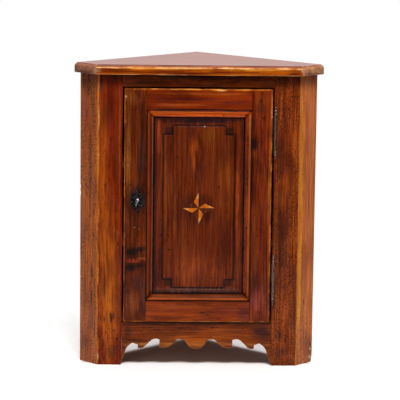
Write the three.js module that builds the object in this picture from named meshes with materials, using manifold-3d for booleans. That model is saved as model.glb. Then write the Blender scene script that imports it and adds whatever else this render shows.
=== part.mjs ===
// A corner cupboard of stained pine: a canted front with one panelled door under a moulded top,
// a shaped apron between the feet, boarded backs to fit two walls, and inside it two shelves.
// Millimetres, +Z up. The front looks towards -Y and the rear corner points towards +Y.
import * as THREE from 'three';
import { mergeVertices } from 'three/addons/utils/BufferGeometryUtils.js';
import Module from 'manifold-3d';

const wasm = await Module();
wasm.setup();

// Whole cupboard
const OVERALL_HEIGHT = 860;
const FRONT_WIDTH = 566;
const CANT_RUN = 51;
const BOARD_THICKNESS = 22;
const JOINT_GAP = 0.3;
const CUT_OVERRUN = 5;

// Top board
const TOP_THICKNESS = 28;
const TOP_FRONT_OVERHANG = 24;
const TOP_CANT_OVERHANG = 20;
const TOP_WALL_LAP = 3;
const TOP_OVOLO_RADIUS = 8;
const TOP_FILLET_HEIGHT = 2.5;
const TOP_FILLET_SET_BACK = 1;
const TOP_LOWER_ARRIS = 2;

// Front frame
const LOCK_SIDE_STILE_WIDTH = 69;
const HINGE_SIDE_STILE_WIDTH = 72;
const FRIEZE_HEIGHT = 35;
const APRON_TOP_HEIGHT = 124;
const DOOR_TOP_GAP = 4;
const FOOT_CHAMFER_WIDTH = 4;
const FOOT_CHAMFER_HEIGHT = 10;
const FRAME_TENON_LENGTH = 34;
const FRAME_TENON_THICKNESS = 8;
const FRAME_TENON_SHOULDER = 6;

// Apron
const APRON_CREST_HEIGHT = 76;
const APRON_TAIL_HEIGHT = 12;

// Backs, rear post, shelves and cleats
const BACK_THICKNESS = 12;
const BACK_FLOOR_GAP = 45;
const BACK_BOARDS_A_SIDE = 3;
const REAR_POST_SIZE = 30;
const SHELF_THICKNESS = 18;
const SHELF_SET_BACK = 42;
const LOWER_SHELF_HEIGHT = 335;
const UPPER_SHELF_HEIGHT = 560;
const CLEAT_WIDTH = 24;
const CLEAT_THICKNESS = 20;

// Door
const DOOR_THICKNESS = 22;
const DOOR_PROUD = 8;
const DOOR_SIDE_GAP = 5.5;
const DOOR_BOTTOM_GAP = 4;
const HINGE_STILE_WIDTH = 56;
const DOOR_RAIL_WIDTH = 60;
const DOOR_TENON_LENGTH = 42;
const DOOR_TENON_THICKNESS = 7;
const DOOR_TENON_SHOULDER = 10;
const DOOR_PEG_INSET = 24;
const PEG_RADIUS = 3.5;
const PEG_PROUD = 0.6;

// Panel and its mouldings
const PANEL_GROOVE_DEPTH = 9;
const PANEL_EDGE_PLAY = 1;
const PANEL_EDGE_THICKNESS = 6;
const PANEL_BACK_LIP = 4;
const PANEL_MARGIN_RISE = 4;
const FIELD_STEP = 2.5;
const FIELD_SIDE_MARGIN = 29;
const FIELD_TOP_MARGIN = 26;
const FIELD_BOTTOM_MARGIN = 20;
const FIELD_NOTCH_WIDTH = 26;
const FIELD_NOTCH_HEIGHT = 24;
const MOULDING_WIDTH = 20;
const MOULDING_PROUD = 1.5;
const MOULDING_OUTER_FLAT = 3;
const MOULDING_INNER_FLAT = 3;
const MOULDING_INNER_THICKNESS = 3.5;
const MOULDING_INNER_STEP = 1.2;

// Star inlay
const STAR_RAY = 46;
const STAR_SHOULDER = 22.5;
const STAR_SHOULDER_TURN = THREE.MathUtils.degToRad(-7.5);
const STAR_DROP = 2.5;
const STAR_DEPTH = 1.6;

// Lift-off hinges
const HINGE_END_INSET = 123;
const HINGE_AXIS_OFFSET = 9;
const HINGE_FACE_CLEARANCE = 0.42;
const HINGE_BARREL_LENGTH = 98.5;
const HINGE_BARREL_RADIUS = 4.65;
const HINGE_DOOR_KNUCKLE_LENGTH = 58;
const HINGE_KNUCKLE_GAP = 0.4;
const HINGE_PIN_RADIUS = 2.6;
const HINGE_PIN_CLEARANCE = 0.1;
const HINGE_PIN_END_GAP = 1;
const HINGE_LEAF_THICKNESS = 2;
const HINGE_LEAF_GAP = 0.3;
const HINGE_LEAF_DEPTH = 16;
const HINGE_LEAF_END = 3;
const HINGE_WEB_THICKNESS = 2;
const FINIAL_LENGTH = 25;

// Lock, bolt and strike
const LOCK_BACKSET = 37.5;
const LOCK_HEIGHT = 349;
const LOCK_CASE_GROOVE_GAP = 1.2;
const LOCK_CASE_HEADROOM = 8;
const LOCK_CASE_BELOW_KEY = 22;
const LOCK_CASE_DEPTH = 11.5;
const LOCK_CASE_WALL = 1.6;
const LOCK_PLATE_MARGIN = 8;
const LOCK_PLATE_THICKNESS = 1.6;
const BOLT_HEIGHT = 18;
const BOLT_THICKNESS = 6;
const BOLT_END_CLEARANCE = 0.7;
const BOLT_TIP_SET_BACK = 0.5;
const BOLT_ABOVE_KEY = 8;
const BOLT_CLEARANCE = 0.6;
const TALON_CLEARANCE = 1.4;
const TALON_START = 0.6;
const TALON_WIDTH = 6.8;
const STRIKE_HEIGHT = 44;
const STRIKE_WIDTH = 14;
const STRIKE_THICKNESS = 1.5;
const STRIKE_PLAY = 1;
const STRIKE_MORTISE_DEPTH = 12;

// Escutcheon and key
const ESCUTCHEON_WIDTH = 42;
const ESCUTCHEON_MARGIN = 3.5;
const ESCUTCHEON_BODY_HEIGHT = 46;
const ESCUTCHEON_HEIGHT = 72;
const ESCUTCHEON_THICKNESS = 1.6;
const ESCUTCHEON_PIN_RADIUS = 1.3;
const ESCUTCHEON_PIN_HEAD_RADIUS = 2.2;
const ESCUTCHEON_PIN_HEAD_HEIGHT = 0.9;
const ESCUTCHEON_PIN_LENGTH = 9;
const ESCUTCHEON_PIN_INSET = 7;
const KEYHOLE_CLEARANCE = 1.3;
const KEYHOLE_SLOT_PLAY = 2;
const KEYHOLE_DROP_PLAY = 2;
const KEY_SHANK_RADIUS = 3.3;
const KEY_COLLAR_RADIUS = 5;
const KEY_COLLAR_LENGTH = 3;
const KEY_COLLAR_STAND = 5;
const KEY_BOW_WIDTH = 25;
const KEY_BOW_LENGTH = 21;
const KEY_BOW_BAR = 4;
const KEY_BOW_STAND = 19;
const KEY_BIT_RADIUS = 12;
const KEY_BIT_LENGTH = 6;
const KEY_BIT_THICKNESS = 2.6;
const KEY_TILT = THREE.MathUtils.degToRad(22);

// Places worked out from the sizes above
const HALF_FRONT = FRONT_WIDTH / 2;
const APEX_DEPTH = HALF_FRONT + CANT_RUN + CANT_RUN;
const WALL_RUN = (HALF_FRONT + CANT_RUN) * Math.SQRT2;
const CARCASS_HEIGHT = OVERALL_HEIGHT - TOP_THICKNESS;
const OPENING_LEFT = LOCK_SIDE_STILE_WIDTH - HALF_FRONT;
const OPENING_RIGHT = HALF_FRONT - HINGE_SIDE_STILE_WIDTH;
const OPENING_MIDDLE = (OPENING_LEFT + OPENING_RIGHT) / 2;
const OPENING_HALF = (OPENING_RIGHT - OPENING_LEFT) / 2;
const OPENING_TOP = CARCASS_HEIGHT - FRIEZE_HEIGHT;
const DOOR_LEFT = OPENING_LEFT + DOOR_SIDE_GAP;
const DOOR_BOTTOM = APRON_TOP_HEIGHT + DOOR_BOTTOM_GAP;
const DOOR_WIDTH = OPENING_RIGHT - DOOR_SIDE_GAP - DOOR_LEFT;
const DOOR_HEIGHT = OPENING_TOP - DOOR_TOP_GAP - DOOR_BOTTOM;
const LOCK_STILE_WIDTH = LOCK_BACKSET + ESCUTCHEON_WIDTH / 2 + ESCUTCHEON_MARGIN;
const PANEL_EDGE_DEPTH = DOOR_THICKNESS - PANEL_BACK_LIP - PANEL_EDGE_THICKNESS;
const TOP_WALL_CORNER = APEX_DEPTH + TOP_WALL_LAP * Math.SQRT2;
const KEY_FRONT = DOOR_PROUD + KEY_BOW_STAND + KEY_BOW_LENGTH;
const CENTRE_DEPTH = (TOP_WALL_CORNER - KEY_FRONT) / 2;

// Finishes
const pine = (name, colour, roughness) => new THREE.MeshStandardMaterial({ name, color: colour, roughness });
const METALNESS = 0.9;
const metal = (name, colour, roughness) => {
  return new THREE.MeshStandardMaterial({ name, color: colour, roughness, metalness: METALNESS });
};
const goldenPine = pine('golden_pine', 0xa8571c, 0.38);
const redPine = pine('red_pine', 0x8a3f16, 0.36);
const darkPine = pine('dark_pine', 0x6a2f14, 0.4);
const topPine = pine('top_pine', 0xa0562a, 0.3);
const rawPine = pine('raw_pine', 0xa67c4c, 0.75);
const lightWood = pine('star_light_wood', 0xd59a52, 0.4);
const darkWood = pine('star_dark_wood', 0x2e1a12, 0.4);
const iron = metal('dark_iron', 0x35302d, 0.5);
const steel = metal('worn_steel', 0x6d6862, 0.42);

// Making and cutting solids
function welded(geometry) {
  geometry.deleteAttribute('normal');
  geometry.deleteAttribute('uv');
  const body = mergeVertices(geometry);
  const { array } = body.index;
  const kept = [];
  for (let i = 0; i < array.length; i += 3) {
    const [a, b, c] = [array[i], array[i + 1], array[i + 2]];
    if (a !== b && b !== c && c !== a) {
      kept.push(a, b, c);
    }
  }
  body.setIndex(kept);
  return body;
}

function solidOf(geometry) {
  const body = welded(geometry);
  const vertProperties = new Float32Array(body.attributes.position.array);
  const triVerts = new Uint32Array(body.index.array);
  return new wasm.Manifold(new wasm.Mesh({ numProp: 3, vertProperties, triVerts }));
}

function geometryOf(solid) {
  const mesh = solid.getMesh();
  const geometry = new THREE.BufferGeometry();
  geometry.setAttribute('position', new THREE.BufferAttribute(new Float32Array(mesh.vertProperties), 3));
  geometry.setIndex(new THREE.BufferAttribute(new Uint32Array(mesh.triVerts), 1));
  geometry.computeVertexNormals();
  return geometry;
}

const join = (geometries) => geometryOf(geometries.map(solidOf).reduce((sum, next) => sum.add(next)));

function cut(geometry, cutters) {
  return geometryOf(cutters.map(solidOf).reduce((left, cutter) => left.subtract(cutter), solidOf(geometry)));
}

// A box between two corners
function block([x0, y0, z0], [x1, y1, z1]) {
  const geometry = new THREE.BoxGeometry(x1 - x0, y1 - y0, z1 - z0);
  return geometry.translate((x0 + x1) / 2, (y0 + y1) / 2, (z0 + z1) / 2);
}

// A plan outline raised from one height to another
function upright(outline, bottom, top) {
  const shape = new THREE.Shape(outline.map(([x, y]) => new THREE.Vector2(x, y)));
  const geometry = new THREE.ExtrudeGeometry(shape, { depth: top - bottom, bevelEnabled: false });
  return geometry.translate(0, 0, bottom);
}

// A front-view shape in x and z, given thickness from one depth to another
function facing(shape, front, back) {
  const geometry = new THREE.ExtrudeGeometry(shape, { depth: back - front, bevelEnabled: false });
  return geometry.rotateX(Math.PI / 2).translate(0, back, 0);
}

const frontOutline = (outline) => new THREE.Shape(outline.map(([x, z]) => new THREE.Vector2(x, z)));

// A round bar along the depth of the cupboard
const SMALL_ROUND_SIDES = 8;
function roundBar(x, z, front, back, radius) {
  const bar = new THREE.CylinderGeometry(radius, radius, back - front, SMALL_ROUND_SIDES);
  return bar.translate(x, (front + back) / 2, z);
}

// A solid skinned over rings of points that all hold the same count of points
function skinned(rings) {
  const count = rings[0].length;
  const positions = rings.flat(2);
  const index = [];
  rings.slice(1).forEach((ring, layer) => {
    for (let i = 0; i < count; i += 1) {
      const here = layer * count + i;
      const beside = layer * count + ((i + 1) % count);
      index.push(here, beside, beside + count, here, beside + count, here + count);
    }
  });
  const [first, last] = [rings[0], rings[rings.length - 1]];
  const capOf = (ring) => {
    const [a, b, c] = [ring[0], ring[1], ring[count - 1]].map((point) => new THREE.Vector3(...point));
    const across = b.clone().sub(a).normalize();
    const normal = across.clone().cross(c.clone().sub(a)).normalize();
    const along = normal.clone().cross(across);
    const flat = ring.map((point) => {
      const offset = new THREE.Vector3(...point).sub(a);
      return new THREE.Vector2(offset.dot(across), offset.dot(along));
    });
    return THREE.ShapeUtils.triangulateShape(flat, []);
  };
  capOf(first).forEach(([a, b, c]) => index.push(c, b, a));
  const lastStart = (rings.length - 1) * count;
  capOf(last).forEach(([a, b, c]) => index.push(lastStart + a, lastStart + b, lastStart + c));
  const geometry = new THREE.BufferGeometry();
  geometry.setAttribute('position', new THREE.Float32BufferAttribute(positions, 3));
  geometry.setIndex(index);
  return facedOutward(geometry);
}

// Reverse the faces of a closed mesh whose volume comes out negative
function facedOutward(geometry) {
  const { array } = geometry.attributes.position;
  const index = geometry.index.array;
  const corner = (i) => new THREE.Vector3().fromArray(array, index[i] * 3);
  let volume = 0;
  for (let i = 0; i < index.length; i += 3) {
    volume += corner(i).dot(corner(i + 1).cross(corner(i + 2)));
  }
  if (volume < 0) {
    for (let i = 0; i < index.length; i += 3) {
      [index[i], index[i + 1]] = [index[i + 1], index[i]];
    }
  }
  geometry.computeVertexNormals();
  return geometry;
}

const cupboard = new THREE.Group();
cupboard.position.y = -CENTRE_DEPTH;
const carcass = new THREE.Group();
const door = new THREE.Group();
door.position.set(DOOR_LEFT, -DOOR_PROUD, DOOR_BOTTOM);
cupboard.add(carcass, door);

function place(group, name, geometry, material) {
  const mesh = new THREE.Mesh(geometry, material);
  mesh.name = name;
  group.add(mesh);
  return mesh;
}

// Plan of the carcass, moved outward by an overhang on the front, the cants and the walls
function planOutline(front, cant, wall) {
  const cantLine = HALF_FRONT + cant * Math.SQRT2;
  const wallLine = APEX_DEPTH + wall * Math.SQRT2;
  const kink = cantLine - front;
  const outerX = (cantLine + wallLine) / 2;
  const outerY = (wallLine - cantLine) / 2;
  return [[-kink, -front], [kink, -front], [outerX, outerY], [0, wallLine], [-outerX, outerY]];
}

// A plan point beside a wall: so far along it from the rear corner, and so far inward
function besideWall(side, along, inward) {
  return [side * (along - inward) * Math.SQRT1_2, APEX_DEPTH - (along + inward) * Math.SQRT1_2];
}

// Plan of what fits inside the sides, the backs and the rear post
function insideOutline(front) {
  const inset = BOARD_THICKNESS + JOINT_GAP;
  const [left, right, outerRight, , outerLeft] = planOutline(-front, -inset, -BACK_THICKNESS - JOINT_GAP);
  const post = REAR_POST_SIZE + JOINT_GAP;
  const beside = (side) => besideWall(side, post, BACK_THICKNESS + JOINT_GAP);
  return [left, right, outerRight, beside(1), besideWall(1, post, post), beside(-1), outerLeft];
}

// Top board, with an ovolo and fillet run along its front and canted edges
const OVOLO_STEPS = 5;
function topBoard() {
  const ovoloTop = TOP_THICKNESS - TOP_FILLET_HEIGHT;
  const profile = [[TOP_LOWER_ARRIS, 0], [0, TOP_LOWER_ARRIS]];
  for (let step = 0; step <= OVOLO_STEPS; step += 1) {
    const turn = (Math.PI / 2) * (step / OVOLO_STEPS);
    const inward = TOP_OVOLO_RADIUS * (1 - Math.cos(turn));
    profile.push([inward, ovoloTop - TOP_OVOLO_RADIUS * (1 - Math.sin(turn))]);
  }
  const filletInset = TOP_OVOLO_RADIUS + TOP_FILLET_SET_BACK;
  profile.push([filletInset, ovoloTop], [filletInset, TOP_THICKNESS]);
  return skinned(profile.map(([inset, height]) => {
    const outline = planOutline(TOP_FRONT_OVERHANG - inset, TOP_CANT_OVERHANG - inset, TOP_WALL_LAP);
    return outline.map(([x, y]) => [x, y, CARCASS_HEIGHT + height]);
  }));
}

place(carcass, 'top_board', topBoard(), topPine);

// Front stiles: they run to the floor as feet and meet the canted boards in a mitre
const MITRE_RUN = BOARD_THICKNESS * Math.tan(Math.PI / 8);
const LOCK_Z = DOOR_BOTTOM + LOCK_HEIGHT;
const BOLT_BOTTOM = LOCK_Z + BOLT_ABOVE_KEY;
const BOLT_BACK = DOOR_THICKNESS - DOOR_PROUD - LOCK_PLATE_THICKNESS - BOLT_CLEARANCE;
const BOLT_FRONT = BOLT_BACK - BOLT_THICKNESS;
const BOLT_MIDDLE_HEIGHT = BOLT_BOTTOM + BOLT_HEIGHT / 2;
const BOLT_MIDDLE_DEPTH = (BOLT_FRONT + BOLT_BACK) / 2;
const FRAME_TENON_FRONT = (BOARD_THICKNESS - FRAME_TENON_THICKNESS) / 2;
const FRAME_TENON_BACK = FRAME_TENON_FRONT + FRAME_TENON_THICKNESS;
const BOTTOM_BOARD_LOW = APRON_TOP_HEIGHT - SHELF_THICKNESS;
const APRON_TENON_BOTTOM = APRON_CREST_HEIGHT + FRAME_TENON_SHOULDER;
const APRON_TENON_TOP = APRON_TOP_HEIGHT - FRAME_TENON_SHOULDER;
const FRIEZE_TENON_BOTTOM = OPENING_TOP + FRAME_TENON_SHOULDER;
const FRIEZE_TENON_TOP = CARCASS_HEIGHT - FRAME_TENON_SHOULDER;

function frameTenon(side, bottom, top, slack) {
  const shoulder = side < 0 ? OPENING_LEFT : OPENING_RIGHT;
  const inner = shoulder - side * CUT_OVERRUN;
  const outer = shoulder + side * (FRAME_TENON_LENGTH + slack);
  const low = [Math.min(inner, outer), FRAME_TENON_FRONT - slack, bottom - slack];
  return block(low, [Math.max(inner, outer), FRAME_TENON_BACK + slack, top + slack]);
}

function frontStile(side) {
  const inner = side < 0 ? OPENING_LEFT : OPENING_RIGHT;
  const arris = side * (HALF_FRONT - JOINT_GAP);
  const outline = [[arris, 0], [inner, 0], [inner, BOARD_THICKNESS]];
  outline.push([arris - side * MITRE_RUN, BOARD_THICKNESS]);
  const stile = upright(outline, 0, CARCASS_HEIGHT - JOINT_GAP);
  const chamferEdge = inner + side * FOOT_CHAMFER_WIDTH;
  const chamfer = frontOutline([[inner, FOOT_CHAMFER_HEIGHT], [chamferEdge, 0],
    [chamferEdge, -CUT_OVERRUN], [inner - side * CUT_OVERRUN, -CUT_OVERRUN],
    [inner - side * CUT_OVERRUN, FOOT_CHAMFER_HEIGHT]]);
  const cutters = [
    facing(chamfer, -CUT_OVERRUN, BOARD_THICKNESS + CUT_OVERRUN),
    frameTenon(side, APRON_TENON_BOTTOM, APRON_TENON_TOP, JOINT_GAP),
    frameTenon(side, FRIEZE_TENON_BOTTOM, FRIEZE_TENON_TOP, JOINT_GAP),
  ];
  return { stile, cutters };
}

// A piece turned about the y axis from a profile of radii and places along it
function turned(profile, sides) {
  const points = profile.map(([radius, along]) => new THREE.Vector2(radius, along));
  return facedOutward(welded(new THREE.LatheGeometry(points, sides)));
}

function strikeBox(play, depth, height, width) {
  const halfWidth = width / 2 + play;
  const halfHeight = height / 2 + play;
  const low = [OPENING_LEFT - depth, BOLT_MIDDLE_DEPTH - halfWidth, BOLT_MIDDLE_HEIGHT - halfHeight];
  const high = [OPENING_LEFT + CUT_OVERRUN, BOLT_MIDDLE_DEPTH + halfWidth, BOLT_MIDDLE_HEIGHT + halfHeight];
  return block(low, high);
}

const left = frontStile(-1);
left.cutters.push(
  strikeBox(JOINT_GAP, STRIKE_THICKNESS + JOINT_GAP, STRIKE_HEIGHT, STRIKE_WIDTH),
  strikeBox(STRIKE_PLAY, STRIKE_MORTISE_DEPTH, BOLT_HEIGHT, BOLT_THICKNESS),
);
place(carcass, 'left_front_stile', cut(left.stile, left.cutters), goldenPine);
const right = frontStile(1);
place(carcass, 'right_front_stile', cut(right.stile, right.cutters), redPine);

// Strike plate let into the left stile, with the slot that takes the bolt
const strikeSlot = strikeBox(STRIKE_PLAY, STRIKE_MORTISE_DEPTH, BOLT_HEIGHT, BOLT_THICKNESS);
const STRIKE_FRONT = BOLT_MIDDLE_DEPTH - STRIKE_WIDTH / 2;
const STRIKE_LOW = BOLT_MIDDLE_HEIGHT - STRIKE_HEIGHT / 2;
const strikePlate = block([OPENING_LEFT - STRIKE_THICKNESS, STRIKE_FRONT, STRIKE_LOW],
  [OPENING_LEFT, STRIKE_FRONT + STRIKE_WIDTH, STRIKE_LOW + STRIKE_HEIGHT]);
place(carcass, 'strike_plate', cut(strikePlate, [strikeSlot]), iron);

// Canted side boards, mitred to the stiles and square to the walls
function cantBoard(side) {
  const outline = [[HALF_FRONT, 0], planOutline(0, 0, 0)[2], planOutline(0, -BOARD_THICKNESS, 0)[2],
    [HALF_FRONT - MITRE_RUN, BOARD_THICKNESS]];
  return upright(outline.map(([x, y]) => [side * x, y]), 0, CARCASS_HEIGHT - JOINT_GAP);
}

place(carcass, 'left_cant_board', cantBoard(-1), redPine);
place(carcass, 'right_cant_board', cantBoard(1), goldenPine);

// Frieze rail under the top, tenoned and pegged into both stiles
function betweenStiles(bottom, top) {
  return block([OPENING_LEFT + JOINT_GAP, 0, bottom], [OPENING_RIGHT - JOINT_GAP, BOARD_THICKNESS, top]);
}

const friezeParts = [betweenStiles(OPENING_TOP, CARCASS_HEIGHT - JOINT_GAP),
  frameTenon(-1, FRIEZE_TENON_BOTTOM, FRIEZE_TENON_TOP, 0),
  frameTenon(1, FRIEZE_TENON_BOTTOM, FRIEZE_TENON_TOP, 0)];
place(carcass, 'frieze_rail', join(friezeParts), redPine);

// Apron: its lower edge runs from a round pendant in the middle through steps and arches to the feet.
// Each point is a share of half the opening across and a share of the crest height up.
const APRON_EDGE_SHARES = [
  [[0, 0.63], [0.07, 0.665], [0.115, 0.79], [0.148, 0.94], [0.2, 0.985], [0.25, 0.97], [0.29, 0.86]],
  [[0.33, 0.76], [0.385, 0.665], [0.49, 0.66]],
  [[0.492, 0.97]],
  [[0.535, 1], [0.585, 0.965], [0.64, 0.83], [0.69, 0.69], [0.73, 0.635], [0.78, 0.635]],
  [[0.782, 0.775]],
  [[0.85, 0.84], [0.9, 0.74], [0.935, 0.6], [0.965, 0.38], [0.988, 0.19]],
  [[1, 0.158]],
];
const APRON_CURVE_STEPS = 3;
const CURVED_RUN_LEAST_POINTS = 4;

function apronEdge() {
  const points = [];
  APRON_EDGE_SHARES.forEach((run) => {
    const spots = run.map(([across, up]) => {
      return new THREE.Vector2(across * OPENING_HALF, up * APRON_CREST_HEIGHT);
    });
    if (spots.length < CURVED_RUN_LEAST_POINTS) {
      points.push(...spots);
    } else {
      points.push(...new THREE.SplineCurve(spots).getPoints(spots.length * APRON_CURVE_STEPS));
    }
  });
  points[points.length - 1].y = APRON_TAIL_HEIGHT;
  return points.map(({ x, y }) => [Math.min(x, OPENING_HALF - JOINT_GAP), y]);
}

const halfEdge = apronEdge();
const apronOutline = [
  ...halfEdge.map(([across, up]) => [OPENING_MIDDLE + across, up]),
  [OPENING_RIGHT - JOINT_GAP, APRON_TOP_HEIGHT],
  [OPENING_LEFT + JOINT_GAP, APRON_TOP_HEIGHT],
  ...halfEdge.slice(1).reverse().map(([across, up]) => [OPENING_MIDDLE - across, up]),
];

const apronParts = [facing(frontOutline(apronOutline), 0, BOARD_THICKNESS),
  frameTenon(-1, APRON_TENON_BOTTOM, APRON_TENON_TOP, 0),
  frameTenon(1, APRON_TENON_BOTTOM, APRON_TENON_TOP, 0)];
place(carcass, 'apron', join(apronParts), goldenPine);

// Rear post in the corner of the two walls
const postOutline = [besideWall(1, 0, 0), besideWall(-1, REAR_POST_SIZE, 0),
  besideWall(1, REAR_POST_SIZE, REAR_POST_SIZE), besideWall(1, REAR_POST_SIZE, 0)];
place(carcass, 'rear_corner_post', upright(postOutline, 0, CARCASS_HEIGHT - JOINT_GAP), rawPine);

// Bars and boards that lie along a wall
function alongWall(side, [start, end], [outer, inner], bottom, top) {
  const corners = [[start, outer], [end, outer], [end, inner], [start, inner]];
  return upright(corners.map(([along, inward]) => besideWall(side, along, inward)), bottom, top);
}

const BACK_START = REAR_POST_SIZE + JOINT_GAP;
const BACK_END = WALL_RUN - BOARD_THICKNESS - JOINT_GAP;
const BACK_PITCH = (BACK_END - BACK_START + JOINT_GAP) / BACK_BOARDS_A_SIDE;
const CLEAT_OUTER = BACK_THICKNESS + JOINT_GAP;
const CLEAT_INNER = CLEAT_OUTER + CLEAT_THICKNESS;
const CLEAT_START = Math.max(REAR_POST_SIZE, CLEAT_INNER) + JOINT_GAP;
const cleatTops = {
  bottom: BOTTOM_BOARD_LOW - JOINT_GAP,
  lower: LOWER_SHELF_HEIGHT - JOINT_GAP,
  upper: UPPER_SHELF_HEIGHT - JOINT_GAP,
  top: CARCASS_HEIGHT - JOINT_GAP,
};

function boardedBack(side, sideName) {
  for (let board = 0; board < BACK_BOARDS_A_SIDE; board += 1) {
    const start = BACK_START + board * BACK_PITCH;
    const span = [start, start + BACK_PITCH - JOINT_GAP];
    const plank = alongWall(side, span, [0, BACK_THICKNESS], BACK_FLOOR_GAP, CARCASS_HEIGHT - JOINT_GAP);
    place(carcass, `${sideName}_back_board_${board + 1}`, plank, rawPine);
  }
  Object.entries(cleatTops).forEach(([level, top]) => {
    const depths = [CLEAT_OUTER, CLEAT_INNER];
    const cleat = alongWall(side, [CLEAT_START, BACK_END], depths, top - CLEAT_WIDTH, top);
    place(carcass, `${sideName}_${level}_cleat`, cleat, rawPine);
  });
}

boardedBack(-1, 'left');
boardedBack(1, 'right');

// Bottom board and two shelves, resting on the cleats
const bottomBoard = upright(insideOutline(BOARD_THICKNESS + JOINT_GAP), BOTTOM_BOARD_LOW, APRON_TOP_HEIGHT);
place(carcass, 'bottom_board', bottomBoard, rawPine);
const shelf = (height) => upright(insideOutline(SHELF_SET_BACK), height, height + SHELF_THICKNESS);
place(carcass, 'lower_shelf', shelf(LOWER_SHELF_HEIGHT), rawPine);
place(carcass, 'upper_shelf', shelf(UPPER_SHELF_HEIGHT), rawPine);

// Door frame, in the door's own frame: x from its lock edge, y from its front face, z from its bottom edge
const FRAME_INNER_LEFT = LOCK_STILE_WIDTH;
const FRAME_INNER_RIGHT = DOOR_WIDTH - HINGE_STILE_WIDTH;
const FRAME_INNER_BOTTOM = DOOR_RAIL_WIDTH;
const FRAME_INNER_TOP = DOOR_HEIGHT - DOOR_RAIL_WIDTH;
const DOOR_TENON_FRONT = PANEL_EDGE_DEPTH - (DOOR_TENON_THICKNESS - PANEL_EDGE_THICKNESS) / 2;
const DOOR_TENON_BACK = DOOR_TENON_FRONT + DOOR_TENON_THICKNESS;
const doorPegPlaces = [FRAME_INNER_LEFT - DOOR_PEG_INSET, FRAME_INNER_RIGHT + DOOR_PEG_INSET].flatMap((x) => {
  return [DOOR_RAIL_WIDTH / 2, DOOR_HEIGHT - DOOR_RAIL_WIDTH / 2].map((z) => [x, z]);
});
const DOOR_PEG_BACK = DOOR_THICKNESS;

function doorPegHoles() {
  return doorPegPlaces.map(([x, z]) => {
    return roundBar(x, z, -CUT_OVERRUN, DOOR_PEG_BACK + CUT_OVERRUN, PEG_RADIUS + JOINT_GAP);
  });
}

function panelGroove() {
  const [front, back] = [PANEL_EDGE_DEPTH - JOINT_GAP, PANEL_EDGE_DEPTH + PANEL_EDGE_THICKNESS + JOINT_GAP];
  const low = [FRAME_INNER_LEFT - PANEL_GROOVE_DEPTH, front, FRAME_INNER_BOTTOM - PANEL_GROOVE_DEPTH];
  return block(low, [FRAME_INNER_RIGHT + PANEL_GROOVE_DEPTH, back, FRAME_INNER_TOP + PANEL_GROOVE_DEPTH]);
}

function doorTenon(side, bottom, slack) {
  const shoulder = side < 0 ? FRAME_INNER_LEFT : FRAME_INNER_RIGHT;
  const inner = shoulder - side * (PANEL_GROOVE_DEPTH + CUT_OVERRUN);
  const outer = shoulder + side * (DOOR_TENON_LENGTH + slack);
  const low = [Math.min(inner, outer), DOOR_TENON_FRONT - slack, bottom + DOOR_TENON_SHOULDER - slack];
  const top = bottom + DOOR_RAIL_WIDTH - DOOR_TENON_SHOULDER + slack;
  return block(low, [Math.max(inner, outer), DOOR_TENON_BACK + slack, top]);
}

function doorStile(from, to) {
  const stile = block([from, 0, 0], [to, DOOR_THICKNESS, DOOR_HEIGHT]);
  const mortises = [0, FRAME_INNER_TOP].flatMap((bottom) => {
    return [-1, 1].map((side) => doorTenon(side, bottom, JOINT_GAP));
  });
  return { stile, cutters: [panelGroove(), ...mortises, ...doorPegHoles()] };
}

function doorRail(bottom) {
  const low = [FRAME_INNER_LEFT + JOINT_GAP, 0, bottom];
  const rail = block(low, [FRAME_INNER_RIGHT - JOINT_GAP, DOOR_THICKNESS, bottom + DOOR_RAIL_WIDTH]);
  const grooved = cut(rail, [panelGroove()]);
  return cut(join([grooved, doorTenon(-1, bottom, 0), doorTenon(1, bottom, 0)]), doorPegHoles());
}

// Lock: a case let into the back of the lock stile, closed by a plate and open towards the keyhole
const KEY_X = LOCK_BACKSET;
const CASE_BACK = DOOR_THICKNESS;
const CASE_FRONT = DOOR_THICKNESS - LOCK_CASE_DEPTH;
const CASE_LOW = LOCK_HEIGHT - LOCK_CASE_BELOW_KEY;
const CASE_HIGH = LOCK_HEIGHT + BOLT_ABOVE_KEY + BOLT_HEIGHT + LOCK_CASE_HEADROOM;
const CASE_LEFT = JOINT_GAP;
const CASE_RIGHT = LOCK_STILE_WIDTH - PANEL_GROOVE_DEPTH - LOCK_CASE_GROOVE_GAP;
const PLATE_RIGHT = CASE_RIGHT + LOCK_PLATE_MARGIN;
const PLATE_FRONT = CASE_BACK - LOCK_PLATE_THICKNESS;

function lockBodies(slack) {
  const body = block([CASE_LEFT - slack, CASE_FRONT - slack, CASE_LOW - slack],
    [CASE_RIGHT + slack, CASE_BACK, CASE_HIGH + slack]);
  const plate = block([CASE_LEFT - slack, PLATE_FRONT - slack, CASE_LOW - LOCK_PLATE_MARGIN - slack],
    [PLATE_RIGHT + slack, CASE_BACK, CASE_HIGH + LOCK_PLATE_MARGIN + slack]);
  return [body, plate];
}

function lockRecess() {
  return lockBodies(JOINT_GAP).map((body) => {
    const beyondEdge = body.clone().translate(-CUT_OVERRUN, 0, 0);
    const beyondBack = body.clone().translate(0, CUT_OVERRUN, 0);
    return join([body, beyondEdge, beyondBack]);
  });
}

const BOLT_LOCAL_BOTTOM = LOCK_HEIGHT + BOLT_ABOVE_KEY;
const BOLT_LOCAL_FRONT = BOLT_FRONT + DOOR_PROUD;
const BOLT_LOCAL_BACK = BOLT_BACK + DOOR_PROUD;

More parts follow.
